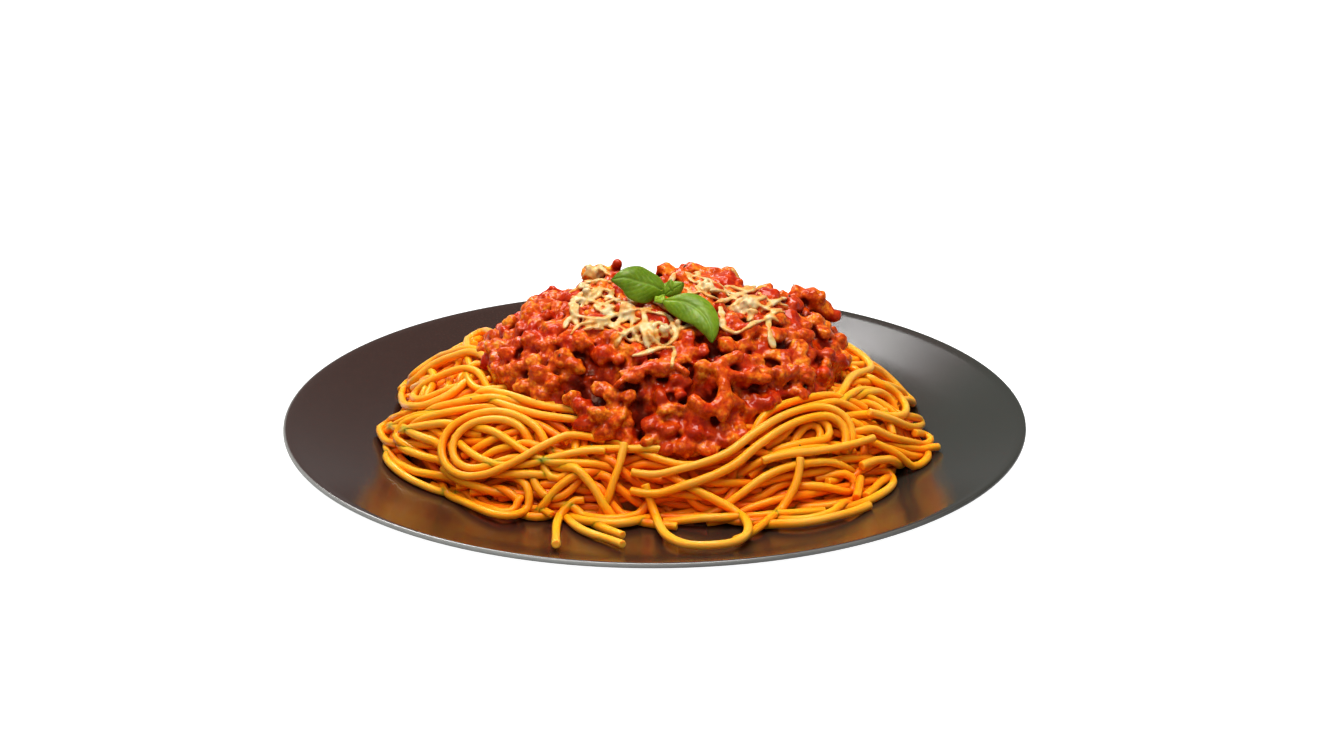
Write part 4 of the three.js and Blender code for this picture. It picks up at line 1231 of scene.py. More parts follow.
def tube_tree(name):
    """Geometry Nodes: lines become round tubes; the thickness comes from each point."""
    sockets = (("Lines", "NodeSocketGeometry"), ("Sides", "NodeSocketInt"))
    group, tree, start = geometry_tree(name, *sockets)
    curves = tree.add("GeometryNodeMeshToCurve")
    thick = tree.add("GeometryNodeInputNamedAttribute", data_type="FLOAT")
    thick.inputs["Name"].default_value = "half_width"
    ring = tree.add("GeometryNodeCurvePrimitiveCircle")
    ring.inputs["Radius"].default_value = 1.0
    tube = tree.add("GeometryNodeCurveToMesh")
    tube.inputs["Fill Caps"].default_value = True
    tree.link(start.outputs["Lines"], curves.inputs["Mesh"])
    tree.link(thick.outputs["Attribute"], tube.inputs["Scale"])
    tree.link(start.outputs["Sides"], ring.inputs["Resolution"])
    tree.link(curves.outputs[0], tube.inputs["Curve"])
    tree.link(ring.outputs["Curve"], tube.inputs["Profile Curve"])
    end_tree(tree, start, tube.outputs[0])
    return group


def run_tree(piece, group, **values):
    """Adds a Geometry Nodes modifier, sets its inputs and makes the result plain."""
    modifier = piece.modifiers.new("nodes", "NODES")
    modifier.node_group = group
    for item in group.interface.items_tree:
        if item.item_type == "SOCKET" and item.in_out == "INPUT" and item.name in values:
            modifier[item.identifier] = values[item.name]
    return made_plain(piece)


def tubes(name, lines, radii, values, finish, sides):
    """Many round strands as one piece: values holds a number for each point, by name."""
    counts = [len(line) for line in lines]
    start = np.cumsum([0, *counts[:-1]])
    edges = [(s + i, s + i + 1) for s, n in zip(start, counts) for i in range(n - 1)]
    piece = new_mesh(name, np.vstack(lines), edges=edges)
    add_values(piece.data, "half_width", np.concatenate(radii) * METRES)
    for key, numbers in values.items():
        add_values(piece.data, key, np.concatenate(numbers))
    return run_tree(piece, tube_tree(name), Sides=sides, Finish=finish)


def ball_tree(name):
    """Geometry Nodes: each point becomes a ball of its own size and turn."""
    sockets = (("Spots", "NodeSocketGeometry"), ("Detail", "NodeSocketInt"), ("Seed", "NodeSocketInt"))
    group, tree, start = geometry_tree(name, *sockets)
    size = tree.add("GeometryNodeInputNamedAttribute", data_type="FLOAT_VECTOR")
    size.inputs["Name"].default_value = "size"
    turn = tree.add("FunctionNodeRandomValue", data_type="FLOAT_VECTOR")
    turn.inputs["Max"].default_value = (2 * math.pi, 2 * math.pi, 2 * math.pi)
    ball = tree.add("GeometryNodeMeshIcoSphere")
    ball.inputs["Radius"].default_value = 1.0
    scatter = tree.add("GeometryNodeInstanceOnPoints")
    tree.link(start.outputs["Detail"], ball.inputs["Subdivisions"])
    tree.link(start.outputs["Seed"], turn.inputs["Seed"])
    tree.link(start.outputs["Spots"], scatter.inputs["Points"])
    tree.link(ball.outputs["Mesh"], scatter.inputs["Instance"])
    tree.link(size.outputs["Attribute"], scatter.inputs["Scale"])
    tree.link(turn.outputs[0], scatter.inputs["Rotation"])
    end_tree(tree, start, scatter.outputs[0])
    return group


def balls(name, middles, sizes, finish, seed, detail=2):
    """Many balls as one piece."""
    piece = new_mesh(name, middles)
    layer = piece.data.attributes.new("size", "FLOAT_VECTOR", "POINT")
    layer.data.foreach_set("vector", (np.asarray(sizes, np.float32) * METRES).ravel())
    return run_tree(piece, ball_tree(name), Detail=detail, Seed=seed, Finish=finish)


def join_pieces(pieces):
    """Adds the later pieces to the first."""
    with bpy.context.temp_override(active_object=pieces[0], selected_editable_objects=pieces):
        bpy.ops.object.join()
    return pieces[0]


def grow_together(piece, voxel, finish):
    """Makes one closed skin of all that touches in a piece, with one material."""
    remesh = piece.modifiers.new("remesh", "REMESH")
    remesh.mode = "VOXEL"
    remesh.voxel_size = voxel
    made_plain(piece)
    piece.data.materials.clear()
    piece.data.materials.append(finish)


def read_points(mesh):
    """The vertices in millimetres."""
    flat = np.empty(len(mesh.vertices) * 3, np.float32)
    mesh.vertices.foreach_get("co", flat)
    return flat.reshape(-1, 3).astype(float) / METRES


def write_points(mesh, points):
    mesh.vertices.foreach_set("co", (points * METRES).astype(np.float32).ravel())
    mesh.update()


def point_normals(mesh):
    flat = np.empty(len(mesh.vertices) * 3, np.float32)
    mesh.vertex_normals.foreach_get("vector", flat)
    return flat.reshape(-1, 3).astype(float)


def relax_values(mesh, points, weight, rounds):
    """Smooths columns of numbers over a mesh, each point by its own weight."""
    flat = np.empty(len(mesh.edges) * 2, np.int32)
    mesh.edges.foreach_get("vertices", flat)
    a, b = flat.reshape(-1, 2).T
    count = np.maximum(np.bincount(a, minlength=len(points)) + np.bincount(b, minlength=len(points)), 1)
    for _ in range(rounds):
        for k in range(points.shape[1]):
            own = points[:, k]
            total = np.bincount(a, own[b], len(points)) + np.bincount(b, own[a], len(points))
            points[:, k] = own + weight * (total / count - own)
    return points


def noise_field(points, scale, seed):
    """Smooth noise from -1 to 1 at points in millimetres; the scale is the size of its features."""
    shift = seed * 17.3
    return np.array([noise.noise((x / scale + shift, y / scale, z / scale)) for x, y, z in points])


class PlateSettings(bpy.types.PropertyGroup):
    segments: IntProperty(name="Segments", description="Steps round the plate", default=192, min=24)


class SpaghettiSettings(bpy.types.PropertyGroup):
    thickness: FloatProperty(
        name="Thickness", description="Thickness of a cooked noodle", default=0.0029, unit="LENGTH"
    )
    rings: IntProperty(name="Rings", description="Noodles that run round the heap", default=44)
    turns: IntProperty(name="Turns", description="Noodles that turn back at the heap's foot", default=34)
    curls: IntProperty(name="Curls", description="Loose ovals on the heap's side", default=14)
    settling: IntProperty(name="Settling", description="Rounds in which the noodles settle", default=160)
    seed: IntProperty(name="Seed", description="Chooses another heap", default=7)
    sides: IntProperty(name="Sides", description="Facets round a noodle", default=8)


class SauceSettings(bpy.types.PropertyGroup):
    voxel: FloatProperty(
        name="Voxel", description="Finest detail of the mince", default=0.00076, unit="LENGTH"
    )
    most_triangles: IntProperty(
        name="Triangles", description="The most that the mince may have", default=196000
    )
    tries: IntProperty(name="Tries", description="How often a further lump is tried", default=2500)
    crumbs: IntProperty(name="Crumbs", description="Small crumbs between the lumps", default=1500)
    seed: IntProperty(name="Seed", description="Chooses other lumps", default=3)


class CheeseSettings(bpy.types.PropertyGroup):
    shreds: IntProperty(name="Shreds", description="Number of loose shreds", default=36)
    thickness: FloatProperty(
        name="Thickness", description="Thickness of a shred", default=0.0016, unit="LENGTH"
    )
    voxel: FloatProperty(
        name="Voxel", description="Finest detail of the cheese", default=0.0004, unit="LENGTH"
    )
    seed: IntProperty(name="Seed", description="Scatters the cheese anew", default=5)


class HerbSettings(bpy.types.PropertyGroup):
    flecks: IntProperty(name="Flecks", description="Number of herb flecks", default=26)
    seed: IntProperty(name="Seed", description="Scatters the herbs anew", default=9)


class StageSettings(bpy.types.PropertyGroup):
    floor_colour: FloatVectorProperty(
        name="Floor", description="Colour of the floor", default=(0.35, 0.35, 0.35), subtype="COLOR",
        min=0, max=1
    )


class DISH_OT_stage(bpy.types.Operator):
    """Make the floor, the lights and the camera"""

    bl_idname = "dish.stage"
    bl_label = "Stage"

    def execute(self, context):
        scene = context.scene
        view = View()
        camera = bpy.data.objects.new("camera", bpy.data.cameras.new("camera"))
        camera.data.lens = LENS
        camera.data.sensor_width = SENSOR
        camera.data.clip_start = CLIP_NEAR
        camera.data.clip_end = CLIP_FAR
        turn = Matrix([view.right, view.up, -view.forward]).transposed()
        camera.matrix_world = Matrix.LocRotScale(Vector(view.at) * METRES, turn.to_quaternion(), None)
        scene.collection.objects.link(camera)
        scene.camera = camera
        corners = ((-1, -1), (1, -1), (1, 1), (-1, 1))
        corners = [(x * FLOOR_HALF, y * FLOOR_HALF, 0) for x, y in corners]
        floor = new_mesh("floor", corners, [(0, 1, 2, 3)])
        material, tree, shader = new_material("floor")
        colour = context.scene.dish_stage.floor_colour
        shade = noise_value(tree, 2.0, detail=1)
        base = mix_colours(tree, math_node(tree, "MULTIPLY", shade, 0.05), tuple(colour), (1.0, 1.0, 1.0))
        tree.link(base, shader.inputs["Base Color"])
        tree.set(shader, Roughness=0.9, Emission_Color=(1, 1, 1, 1))
        path = tree.add("ShaderNodeLightPath")
        tree.link(path.outputs["Is Camera Ray"], shader.inputs["Emission Strength"])
        floor.data.materials.append(material)
        world = bpy.data.worlds.new("studio")
        world.use_nodes = True
        world.node_tree.nodes["Background"].inputs[0].default_value = (1, 1, 1, 1)
        world.node_tree.nodes["Background"].inputs[1].default_value = STUDIO_GLOW
        scene.world = world
        for name, at, aim, size, power, colour in LIGHTS:
            light = bpy.data.objects.new(name, bpy.data.lights.new(name, "AREA"))
            light.data.size = size
            light.data.energy = power
            light.data.color = colour
            place = Vector(at)
            way = (Vector(aim) - place).to_track_quat("-Z", "Y")
            light.matrix_world = Matrix.LocRotScale(place, way, None)
            scene.collection.objects.link(light)
        scene.view_settings.view_transform = "Standard"
        scene.view_settings.look = "None"
        return {"FINISHED"}


def lathe(name, profile, segments):
    """A closed round piece from a profile of (radius, height) that starts and ends on the axis."""
    turns = np.arange(segments) * 2 * np.pi / segments
    inner = profile[1:-1]
    vertices = [(0, 0, profile[0][1])]
    for radius, height in inner:
        vertices += [(radius * math.cos(t), radius * math.sin(t), height) for t in turns]
    vertices.append((0, 0, profile[-1][1]))
    faces = []
    last = len(vertices) - 1
    for k in range(segments):
        n = (k + 1) % segments
        faces.append((0, 1 + n, 1 + k))
        for ring in range(len(inner) - 1):
            a, b = 1 + ring * segments, 1 + (ring + 1) * segments
            faces.append((a + k, a + n, b + n, b + k))
        end = 1 + (len(inner) - 1) * segments
        faces.append((last, end + k, end + n))
    piece = new_mesh(name, vertices, faces)
    piece.data.shade_smooth()
    return piece


class DISH_OT_plate(bpy.types.Operator):
    """Make the coupe plate"""

    bl_idname = "dish.plate"
    bl_label = "Plate"

    def execute(self, context):
        lip = 0.9
        lip_radius = RIM_RADIUS - lip
        foot, width, depth = 76.0, 5.0, 1.6
        upper = [(r, rim_top(r)) for r in (*np.linspace(20, 70, 4), *np.linspace(74, lip_radius - 0.4, 22))]
        lip_height = rim_top(lip_radius) - lip
        thinner = lambda r: 1.4 * min(1.0, max(0.0, (r - 100) / (lip_radius - 100)))
        under = [(r, rim_top(r) - PLATE_WALL + thinner(r)) for r in np.linspace(82, lip_radius - 2.5, 14)]
        rounded = [
            (lip_radius + lip * math.cos(t * DEGREE), lip_height + lip * math.sin(t * DEGREE))
            for t in range(-60, 61, 15)
        ]
        ring = [
            (0, depth), (foot - width - 2.0, depth), (foot - width - 1.2, depth - 0.2),
            (foot - width - 0.6, 0.6),
            (foot - width + 0.2, 0.1), (foot - width + 0.8, 0), (foot - 0.8, 0), (foot - 0.2, 0.15),
            (foot + 0.5, 0.8),
            (foot + 1.5, 1.9), (foot + 3.0, 2.6),
        ]
        profile = [*ring, *under, *rounded, *upper[::-1], (0, PLATE_FLOOR)]
        piece = lathe("coupe_plate", profile, context.scene.dish_plate.segments)
        piece.data.materials.append(plate_finish())
        finish_piece(piece, "plate", "plate")
        return {"FINISHED"}


def softened(line):
    """A strand without its small kinks."""
    line = line.copy()
    for i in range(7):
        axes = 3 if i < 2 else 2
        line[1:-1, :axes] = (line[:-2, :axes] + 2 * line[1:-1, :axes] + line[2:, :axes]) / 4
    return line


def rounded_ends(lines, radii, *values):
    """The same strands with two more points at each end, where they round off."""
    grown = [[], [], *([] for _ in values)]
    for line, radius, *numbers in zip(lines, radii, *values):
        first, last = line[0] - line[1], line[-1] - line[-2]
        first, last = first / np.linalg.norm(first), last / np.linalg.norm(last)
        reach = np.array(((0.2,), (0.3,)))
        grown[0].append(
            np.vstack(
                [line[0] + (reach * radius[0])[::-1] * first, line, line[-1] + reach * radius[-1] * last]
            )
        )
        grown[1].append(
            np.concatenate(
                [(0.75 * radius[0], 0.97 * radius[0]), radius, (0.97 * radius[-1], 0.75 * radius[-1])]
            )
        )
        for k, own in enumerate(numbers):
            grown[2 + k].append(np.concatenate([own[:1], own[:1], own, own[-1:], own[-1:]]))
    return grown


class DISH_OT_spaghetti(bpy.types.Operator):
    """Make the heap of noodles"""

    bl_idname = "dish.spaghetti"
    bl_label = "Spaghetti"

    def execute(self, context):
        settings = context.scene.dish_spaghetti
        heap = noodle_heap(settings)
        random = np.random.default_rng(settings.seed + 1)
        lines = [even_line(softened(line), 2.5) for line in heap.lines]
        radii, tones, stains_and_low_shade = [], [], []
        for line, tone in zip(lines, heap.tones):
            wave = 1 + 0.05 * np.sin(np.linspace(0, random.uniform(4, 14), len(line)) + random.uniform(0, 6))
            radii.append(heap.thickness / 2 * wave * random.uniform(0.93, 1.05))
            tones.append(np.full(len(line), tone))
            near = sauce_share(line[:, 0], line[:, 1])
            # Real stain near the sauce, and painted shade: noodles low on the plate, at the heap's foot, move
            # to the darker colours
            low = np.clip(1 - (line[:, 2] - 10) / 14, 0, 1)
            stains_and_low_shade.append(np.clip(1.15 - near, 0, 0.3) * 0.9 + 0.24 * low + random.uniform(-0.12, 0.08))
        lines, radii, tones, stains_and_low_shade = rounded_ends(lines, radii, tones, stains_and_low_shade)
        piece = tubes(
            "noodles", lines, radii, {"tone": tones, "stain": stains_and_low_shade}, noodle_finish(), settings.sides
        )
        # Painted shade: how crowded each point is, for the finish to darken the gaps
        add_values(piece.data, "gap", crowding(piece, NOODLE_OUTLOOK, OUTLOOK_RAYS))
        finish_piece(piece, "spaghetti", "spaghetti")
        core = core_piece()
        finish_piece(core, "spaghetti")
        return {"FINISHED"}


def polar_shell(name, outline, lower, upper, spokes, rings):
    """A closed shell over an outline round the heap's middle."""
    turns = np.arange(spokes) * 2 * np.pi / spokes
    shares = np.sin(np.pi / 2 * np.arange(1, rings + 1) / rings)
    radius = outline(turns)
    x = (shares[:, None] * radius * np.cos(turns)).ravel()
    y = (HEAP_MIDDLE_Y + shares[:, None] * radius * np.sin(turns)).ravel()
    top = np.column_stack([x, y, upper(x, y)])
    base = np.column_stack([x, y, lower(x, y)])
    middle = np.array([[0, HEAP_MIDDLE_Y]])
    tip = [0, HEAP_MIDDLE_Y, upper(middle[:, 0], middle[:, 1])[0]]
    root = [0, HEAP_MIDDLE_Y, lower(middle[:, 0], middle[:, 1])[0]]
    vertices = np.vstack([[tip], top, [root], base])
    size = spokes * rings
    faces = []
    for k in range(spokes):
        n = (k + 1) % spokes
        faces.append((0, 1 + k, 1 + n))
        faces.append((size + 1, size + 2 + n, size + 2 + k))
        for ring in range(rings - 1):
            a, b = 1 + ring * spokes, 1 + (ring + 1) * spokes
            faces.append((a + k, b + k, b + n, a + n))
            faces.append((size + 1 + a + k, size + 1 + a + n, size + 1 + b + n, size + 1 + b + k))
        a = 1 + (rings - 1) * spokes
        faces.append((a + k, size + 1 + a + k, size + 1 + a + n, a + n))
    piece = new_mesh(name, vertices, faces)
    piece.data.shade_smooth()
    return piece


def core_piece():
    """The inside of the heap, seen only through gaps between the noodles, and painted a darker red as painted
    shade.
    """
    upper = lambda x, y: np.maximum(heap_top(x, y, 9.0), plate_top(x, y) + 0.5)
    lower = lambda x, y: plate_top(x, y) + 0.1
    piece = polar_shell("noodle_core", lambda a: heap_radius(a, 9.0), lower, upper, 96, 24)
    material, tree, shader = new_material("heap_inside")
    grain = noise_value(tree, 260, detail=3)
    colour = colour_ramp(tree, grain, CORE_COLOURS)
    tree.link(colour, shader.inputs["Base Color"])
    tree.set(shader, Roughness=0.45)
    bump(tree, shader, grain, 0.6)
    piece.data.materials.append(material)
    return piece


class DISH_OT_sauce(bpy.types.Operator):
    """Make the mince and its sauce"""

    bl_idname = "dish.sauce"
    bl_label = "Meat sauce"

    def execute(self, context):
        settings = context.scene.dish_sauce
        view = View()
        bed, sunk = hollow_bed(view)
        lumps = sauce_lumps(settings, view, bed, sunk)
        finish = sauce_finish()
        piece = balls("mince_in_sauce", lumps.middles, lumps.sizes, finish, settings.seed)
        lower = lambda x, y: heap_top(x, y, NOODLE_LAYER)
        poured = lambda x, y: np.maximum(
            bed.height(x, y) - SAUCE_SINK - bed.read(sunk, x, y), lower(x, y) + 1.0
        )
        mound = polar_shell("mound", lambda a: sauce_radius(a) - 2.0, lower, poured, 160, 48)
        piece = join_pieces([piece, mound])
        grow_together(piece, settings.voxel, finish)
        coarsen_under(piece, settings.most_triangles)
        mesh = piece.data
        points = read_points(mesh)
        tree = KDTree(len(lumps.middles))
        for i, middle in enumerate(lumps.middles):
            tree.insert(middle, i)
        tree.balance()
        sizes = np.array([np.mean(size) for size in lumps.sizes])
        nearest = np.empty(len(points), int)
        away = np.empty(len(points))
        for i, point in enumerate(points):
            found = [(distance - sizes[k], k) for _, k, distance in tree.find_n(point, 4)]
            away[i], nearest[i] = min(found)
        bare = np.clip(away / 1.5, 0, 1)
        coats = np.array(lumps.coats)[nearest]
        tones = np.array(lumps.tones)[nearest]
        coat = coats + (1 - coats) * bare
        tone = tones * (1 - bare) + 0.3 * bare
        points = relax_values(mesh, points, 0.12 + 0.35 * coat, 2)
        write_points(mesh, points)
        rough = 1 - 0.75 * coat
        fine = 0.5 * noise_field(points, 2.2, 2) + 0.3 * noise_field(points, 1.2, 4)
        swell = 0.5 * noise_field(points, 4.5, 1) + rough * fine
        points += point_normals(mesh) * swell[:, None]
        write_points(mesh, points)
        add_values(mesh, "coat", coat)
        add_values(mesh, "tone", tone)
        x, y, z = points.T
        # Painted shade: points sunk in the shown hollows and crowded points in crevices get a dip value that
        # darkens them
        hollow_shade = np.clip(bed.read(sunk, x, y) / 4, 0, 1) * np.clip((bed.height(x, y) - z) / 2, 0, 1)
        wide = crowding(piece, SAUCE_OUTLOOK, OUTLOOK_RAYS)
        close = crowding(piece, GRAIN_OUTLOOK, OUTLOOK_RAYS)
        blocked = 1.8 * wide + 0.9 * close - 0.5
        add_values(mesh, "dip", np.clip(np.maximum(blocked, hollow_shade), 0, 1))
        mesh.shade_smooth()
        finish_piece(piece, "meat_sauce", "meat_sauce")
        return {"FINISHED"}


def coarsen_under(piece, most):
    """Takes triangles out of the sauce's hidden underside until the piece has few enough."""
    mesh = piece.data
    points = read_points(mesh)
    hidden = points[:, 2] < heap_top(points[:, 0], points[:, 1], NOODLE_LAYER) + 0.8
    group = piece.vertex_groups.new(name="under")
    group.add(np.nonzero(hidden)[0].tolist(), 1.0, "REPLACE")
    triangles = sum(len(p.vertices) - 2 for p in mesh.polygons)
    fewer = piece.modifiers.new("fewer", "DECIMATE")
    fewer.vertex_group = "under"
    fewer.ratio = min(1.0, most / triangles)
    made_plain(piece)
    piece.vertex_groups.clear()


def crowding(piece, reach, rays):
    """How much of each point's outlook is blocked nearby, from 0 in the open to 1 in a gap."""
    mesh = piece.data
    points, normals = read_points(mesh), point_normals(mesh)
    tree = BVHTree.FromObject(piece, bpy.context.evaluated_depsgraph_get())
    place = np.arange(rays) + 0.5
    up = 1 - 2 * place / rays
    out = np.sqrt(1 - up * up)
    ways = np.column_stack([out * np.cos(place * GOLDEN_ANGLE), out * np.sin(place * GOLDEN_ANGLE), up])
    blocked = np.zeros(len(points))
    starts = (points + normals * 0.25) * METRES
    for way in ways:
        targets = normals * 1.05 + way
        for i, (start, target) in enumerate(zip(starts.tolist(), targets.tolist())):
            if tree.ray_cast(start, target, reach * METRES)[0] is not None:
                blocked[i] += 1
    blocked = blocked[:, None] / rays
    return relax_values(mesh, blocked, 0.6, 4)[:, 0]


class Surface:
    """The finished pieces under the cheese and herbs, for dropping things onto them."""

    def __init__(self, *names):
        graph = bpy.context.evaluated_depsgraph_get()
        self.trees = [BVHTree.FromObject(bpy.data.objects[name], graph) for name in names]

    def top(self, x, y):
        """Height of the highest surface at (x, y), or nothing."""
        best = None
        for tree in self.trees:
            spot = tree.ray_cast(Vector((x, y, 150)) * METRES, Vector((0, 0, -1)))[0]
            if spot and (best is None or spot.z / METRES > best):
                best = spot.z / METRES
        return best

    def seen(self, view, px, py):
        """The point that a pixel shows, or nothing."""
        start, way = Vector(view.at) * METRES, Vector(view.ray(px, py))
        hits = [tree.ray_cast(start, way) for tree in self.trees]
        hits = [(hit[3], hit[0]) for hit in hits if hit[0]]
        return np.array(min(hits, key=lambda hit: hit[0])[1]) / METRES if hits else None

    def away(self, point):
        """How far a point is from the surface."""
        return min(tree.find_nearest(Vector(point) * METRES)[3] for tree in self.trees) / METRES


# Where loose cheese lies in the picture: middle, spread and share of the shreds
CHEESE_PATCHES = [((600, 300), (24, 10), 0.3), ((650, 326), (26, 12), 0.25), ((738, 304), (30, 12), 0.3),
                  ((700, 284), (20, 8), 0.15)]

# Shreds that the picture shows, each as points from end to end
SHOWN_SHREDS = [
    [(566, 294), (580, 288), (594, 288), (608, 290), (615, 294)],
    [(573, 297), (583, 299), (596, 302), (608, 306), (616, 307)],
    [(575, 299), (572, 306), (575, 314), (582, 318)],
    [(564, 329), (568, 320), (576, 316), (589, 318), (603, 319), (614, 315), (626, 311)],
    [(614, 316), (626, 312), (638, 309), (652, 309)],
    [(570, 335), (577, 327), (586, 323), (597, 322), (610, 326), (619, 331)],
    [(615, 348), (618, 340), (626, 332), (636, 327), (645, 324)],
    [(632, 356), (645, 353), (659, 348), (675, 347)],
    [(641, 309), (645, 319), (644, 331), (650, 346)], [(649, 324), (656, 331), (660, 341)],
    [(614, 288), (611, 295), (604, 301)],
    [(581, 280), (588, 271), (600, 268), (610, 275)], [(627, 292), (631, 299), (636, 305)],
    [(594, 305), (603, 312), (611, 319)],
    [(649, 329), (654, 340), (663, 346), (672, 341), (676, 332), (672, 321), (665, 315), (658, 312)],
    [(675, 332), (685, 327), (693, 325)], [(643, 326), (646, 340), (650, 348)],
    [(671, 368), (673, 359), (675, 349)],
    [(686, 272), (691, 280), (701, 284), (712, 287)], [(690, 295), (701, 292), (711, 297), (721, 300)],
    [(715, 303), (729, 299), (741, 294), (754, 290)], [(718, 290), (729, 295), (739, 301)],
    [(720, 306), (722, 316), (723, 328)],
    [(718, 324), (728, 330), (736, 333), (745, 329), (754, 323), (763, 320), (771, 316), (779, 322)],
    [(747, 322), (751, 317), (749, 311)], [(768, 321), (770, 335), (774, 349)],
    [(758, 292), (768, 300), (778, 304), (789, 306)],
    [(744, 296), (756, 299), (766, 296)], [(768, 318), (775, 312), (784, 312)],
    [(696, 286), (704, 290), (716, 289)],
    [(694, 276), (706, 279), (718, 284)], [(700, 293), (712, 290), (726, 292), (738, 296)],
    [(726, 306), (736, 311), (746, 314)], [(752, 300), (762, 306), (772, 310), (782, 309)],
    [(733, 287), (744, 289), (755, 286)], [(760, 312), (768, 306), (778, 300), (786, 298)],
    [(590, 283), (600, 280), (610, 283)], [(600, 310), (612, 313), (626, 318), (638, 322)],
    [(583, 330), (592, 327), (604, 329)], [(620, 322), (630, 318), (641, 319)],
    [(652, 302), (660, 304), (668, 311)],
    [(600, 296), (612, 298), (622, 303)], [(634, 336), (640, 342), (652, 343)],
    [(694, 300), (700, 306), (712, 309)],
]

# Lumps of finer cheese: middle and spread in pixels, and how many grains
CHEESE_LUMPS = [
    ((749, 307), 8, 46), ((596, 275), 8, 34), ((588, 290), 9, 14), ((706, 288), 9, 12),
    ((664, 330), 12, 12)
]


def drape(surface, plan, half, sag):
    """Lays a short thing on a surface; it bridges the dips."""
    need = np.array([surface.top(x, y) or 0.0 for x, y in plan]) + half
    height = need.copy()
    for _ in range(sag):
        height[1:-1] = np.maximum(need[1:-1], (height[:-2] + height[1:-1] + height[2:]) / 3)
    return np.column_stack([plan, height])


def drape_seen(surface, view, pixels, half, sag):
    """Lays a short thing along points of the picture; it bridges the dips."""
    ways = np.array([view.ray(px, py) for px, py in smooth_line(pixels, 2.8)])
    spots = [surface.seen(view, px, py) for px, py in smooth_line(pixels, 2.8)]
    far = max(np.linalg.norm(spot - view.at) for spot in spots if spot is not None)
    need = np.array([far if spot is None else np.linalg.norm(spot - view.at) for spot in spots]) - half * 0.05
    depth = need.copy()
    for _ in range(sag):
        depth[1:-1] = np.minimum(need[1:-1], (depth[:-2] + depth[1:-1] + depth[2:]) / 3)
    return even_line(view.at + ways * depth[:, None], 1.0)


def ribbons(lines, radii):
    """Each strand as two thinner ones side by side, which grow together into a flat shred."""
    flat, thinner = [], []
    for line, radius in zip(lines, radii):
        way = np.gradient(line[:, :2], axis=0)
        way /= np.linalg.norm(way, axis=1)[:, None] + 1e-9
        aside = np.column_stack([-way[:, 1], way[:, 0], np.zeros(len(line))]) * radius[:, None] * 0.65
        flat += [line - aside, line + aside]
        thinner += [radius * 0.75, radius * 0.75]
    return flat, thinner


class DISH_OT_cheese(bpy.types.Operator):
    """Make the grated cheese"""

    bl_idname = "dish.cheese"
    bl_label = "Cheese"

    def execute(self, context):
        settings = context.scene.dish_cheese
        random = np.random.default_rng(settings.seed)
        surface = Surface("mince_in_sauce")
        view = View()
        half = settings.thickness / METRES / 2
        lines = [drape_seen(surface, view, pixels, half, 7) for pixels in SHOWN_SHREDS]
        for x, y in self.spots(random, surface, view, settings.shreds):
            length = random.uniform(7, 17)
            along = np.arange(0, length, 1.0)
            bend = random.normal(0, 0.06) + 0.22 * np.sin(
                along * random.uniform(0.25, 0.6) + random.uniform(0, 6)
            )
            turn = random.uniform(0, 2 * math.pi) + np.cumsum(bend)
            plan = np.column_stack([np.cumsum(np.cos(turn)), np.cumsum(np.sin(turn))])
            lines.append(drape(surface, plan - plan.mean(0) + (x, y), half * 0.15, 6))
        radii = []
        for line in lines:
            share = np.linspace(0, 1, len(line))
            ends = np.clip(np.minimum(share, 1 - share) * 5 + 0.5, 0, 1)
            wave = 1 + 0.22 * np.sin(share * random.uniform(6, 20) + random.uniform(0, 6))
            radii.append(half * random.uniform(0.8, 1.25) * ends * wave)
        lines, radii = ribbons(lines, radii)
        finish = cheese_finish()
        piece = tubes("cheese_shreds", lines, radii, {}, finish, 7)
        middles, sizes = [], []
        for (px, py), reach, count in CHEESE_LUMPS:
            for _ in range(count):
                spot = surface.seen(view, random.normal(px, reach * 0.5), random.normal(py, reach * 0.35))
                if spot is not None:
                    middles.append(spot + (0, 0, random.uniform(0.2, 1.2)))
                    sizes.append(random.uniform(0.7, 1.3) * random.uniform(0.7, 1.4, 3))
        piece = join_pieces([piece, balls("cheese_lumps", middles, sizes, finish, settings.seed)])
        grow_together(piece, settings.voxel, finish)
        mesh = piece.data
        points = relax_values(mesh, read_points(mesh), 0.5, 3)
        points += point_normals(mesh) * 0.12 * noise_field(points, 1.1, 5)[:, None]
        write_points(mesh, points)
        near = [surface.away(point) for point in points]
        add_values(mesh, "stain", np.clip(1.1 - np.array(near) / 1.3, 0, 1))
        mesh.shade_smooth()
        finish_piece(piece, "cheese")
        return {"FINISHED"}

    def spots(self, random, surface, view, count):
        """Places for loose shreds: most on the shown patches, some on the far side."""
        shares = np.array([patch[2] for patch in CHEESE_PATCHES])
        spots = []
        while len(spots) < count:
            if random.uniform() < 0.45:
                spot = np.array((random.normal(-2, 19), random.normal(24, 11)))
            else:
                middle, spread, _ = CHEESE_PATCHES[random.choice(len(shares), p=shares / shares.sum())]
                spot = surface.seen(view, *random.normal(middle, spread))
            if spot is not None and sauce_share(spot[0], spot[1]) < 0.8:
                spots.append(spot[:2])
        return spots


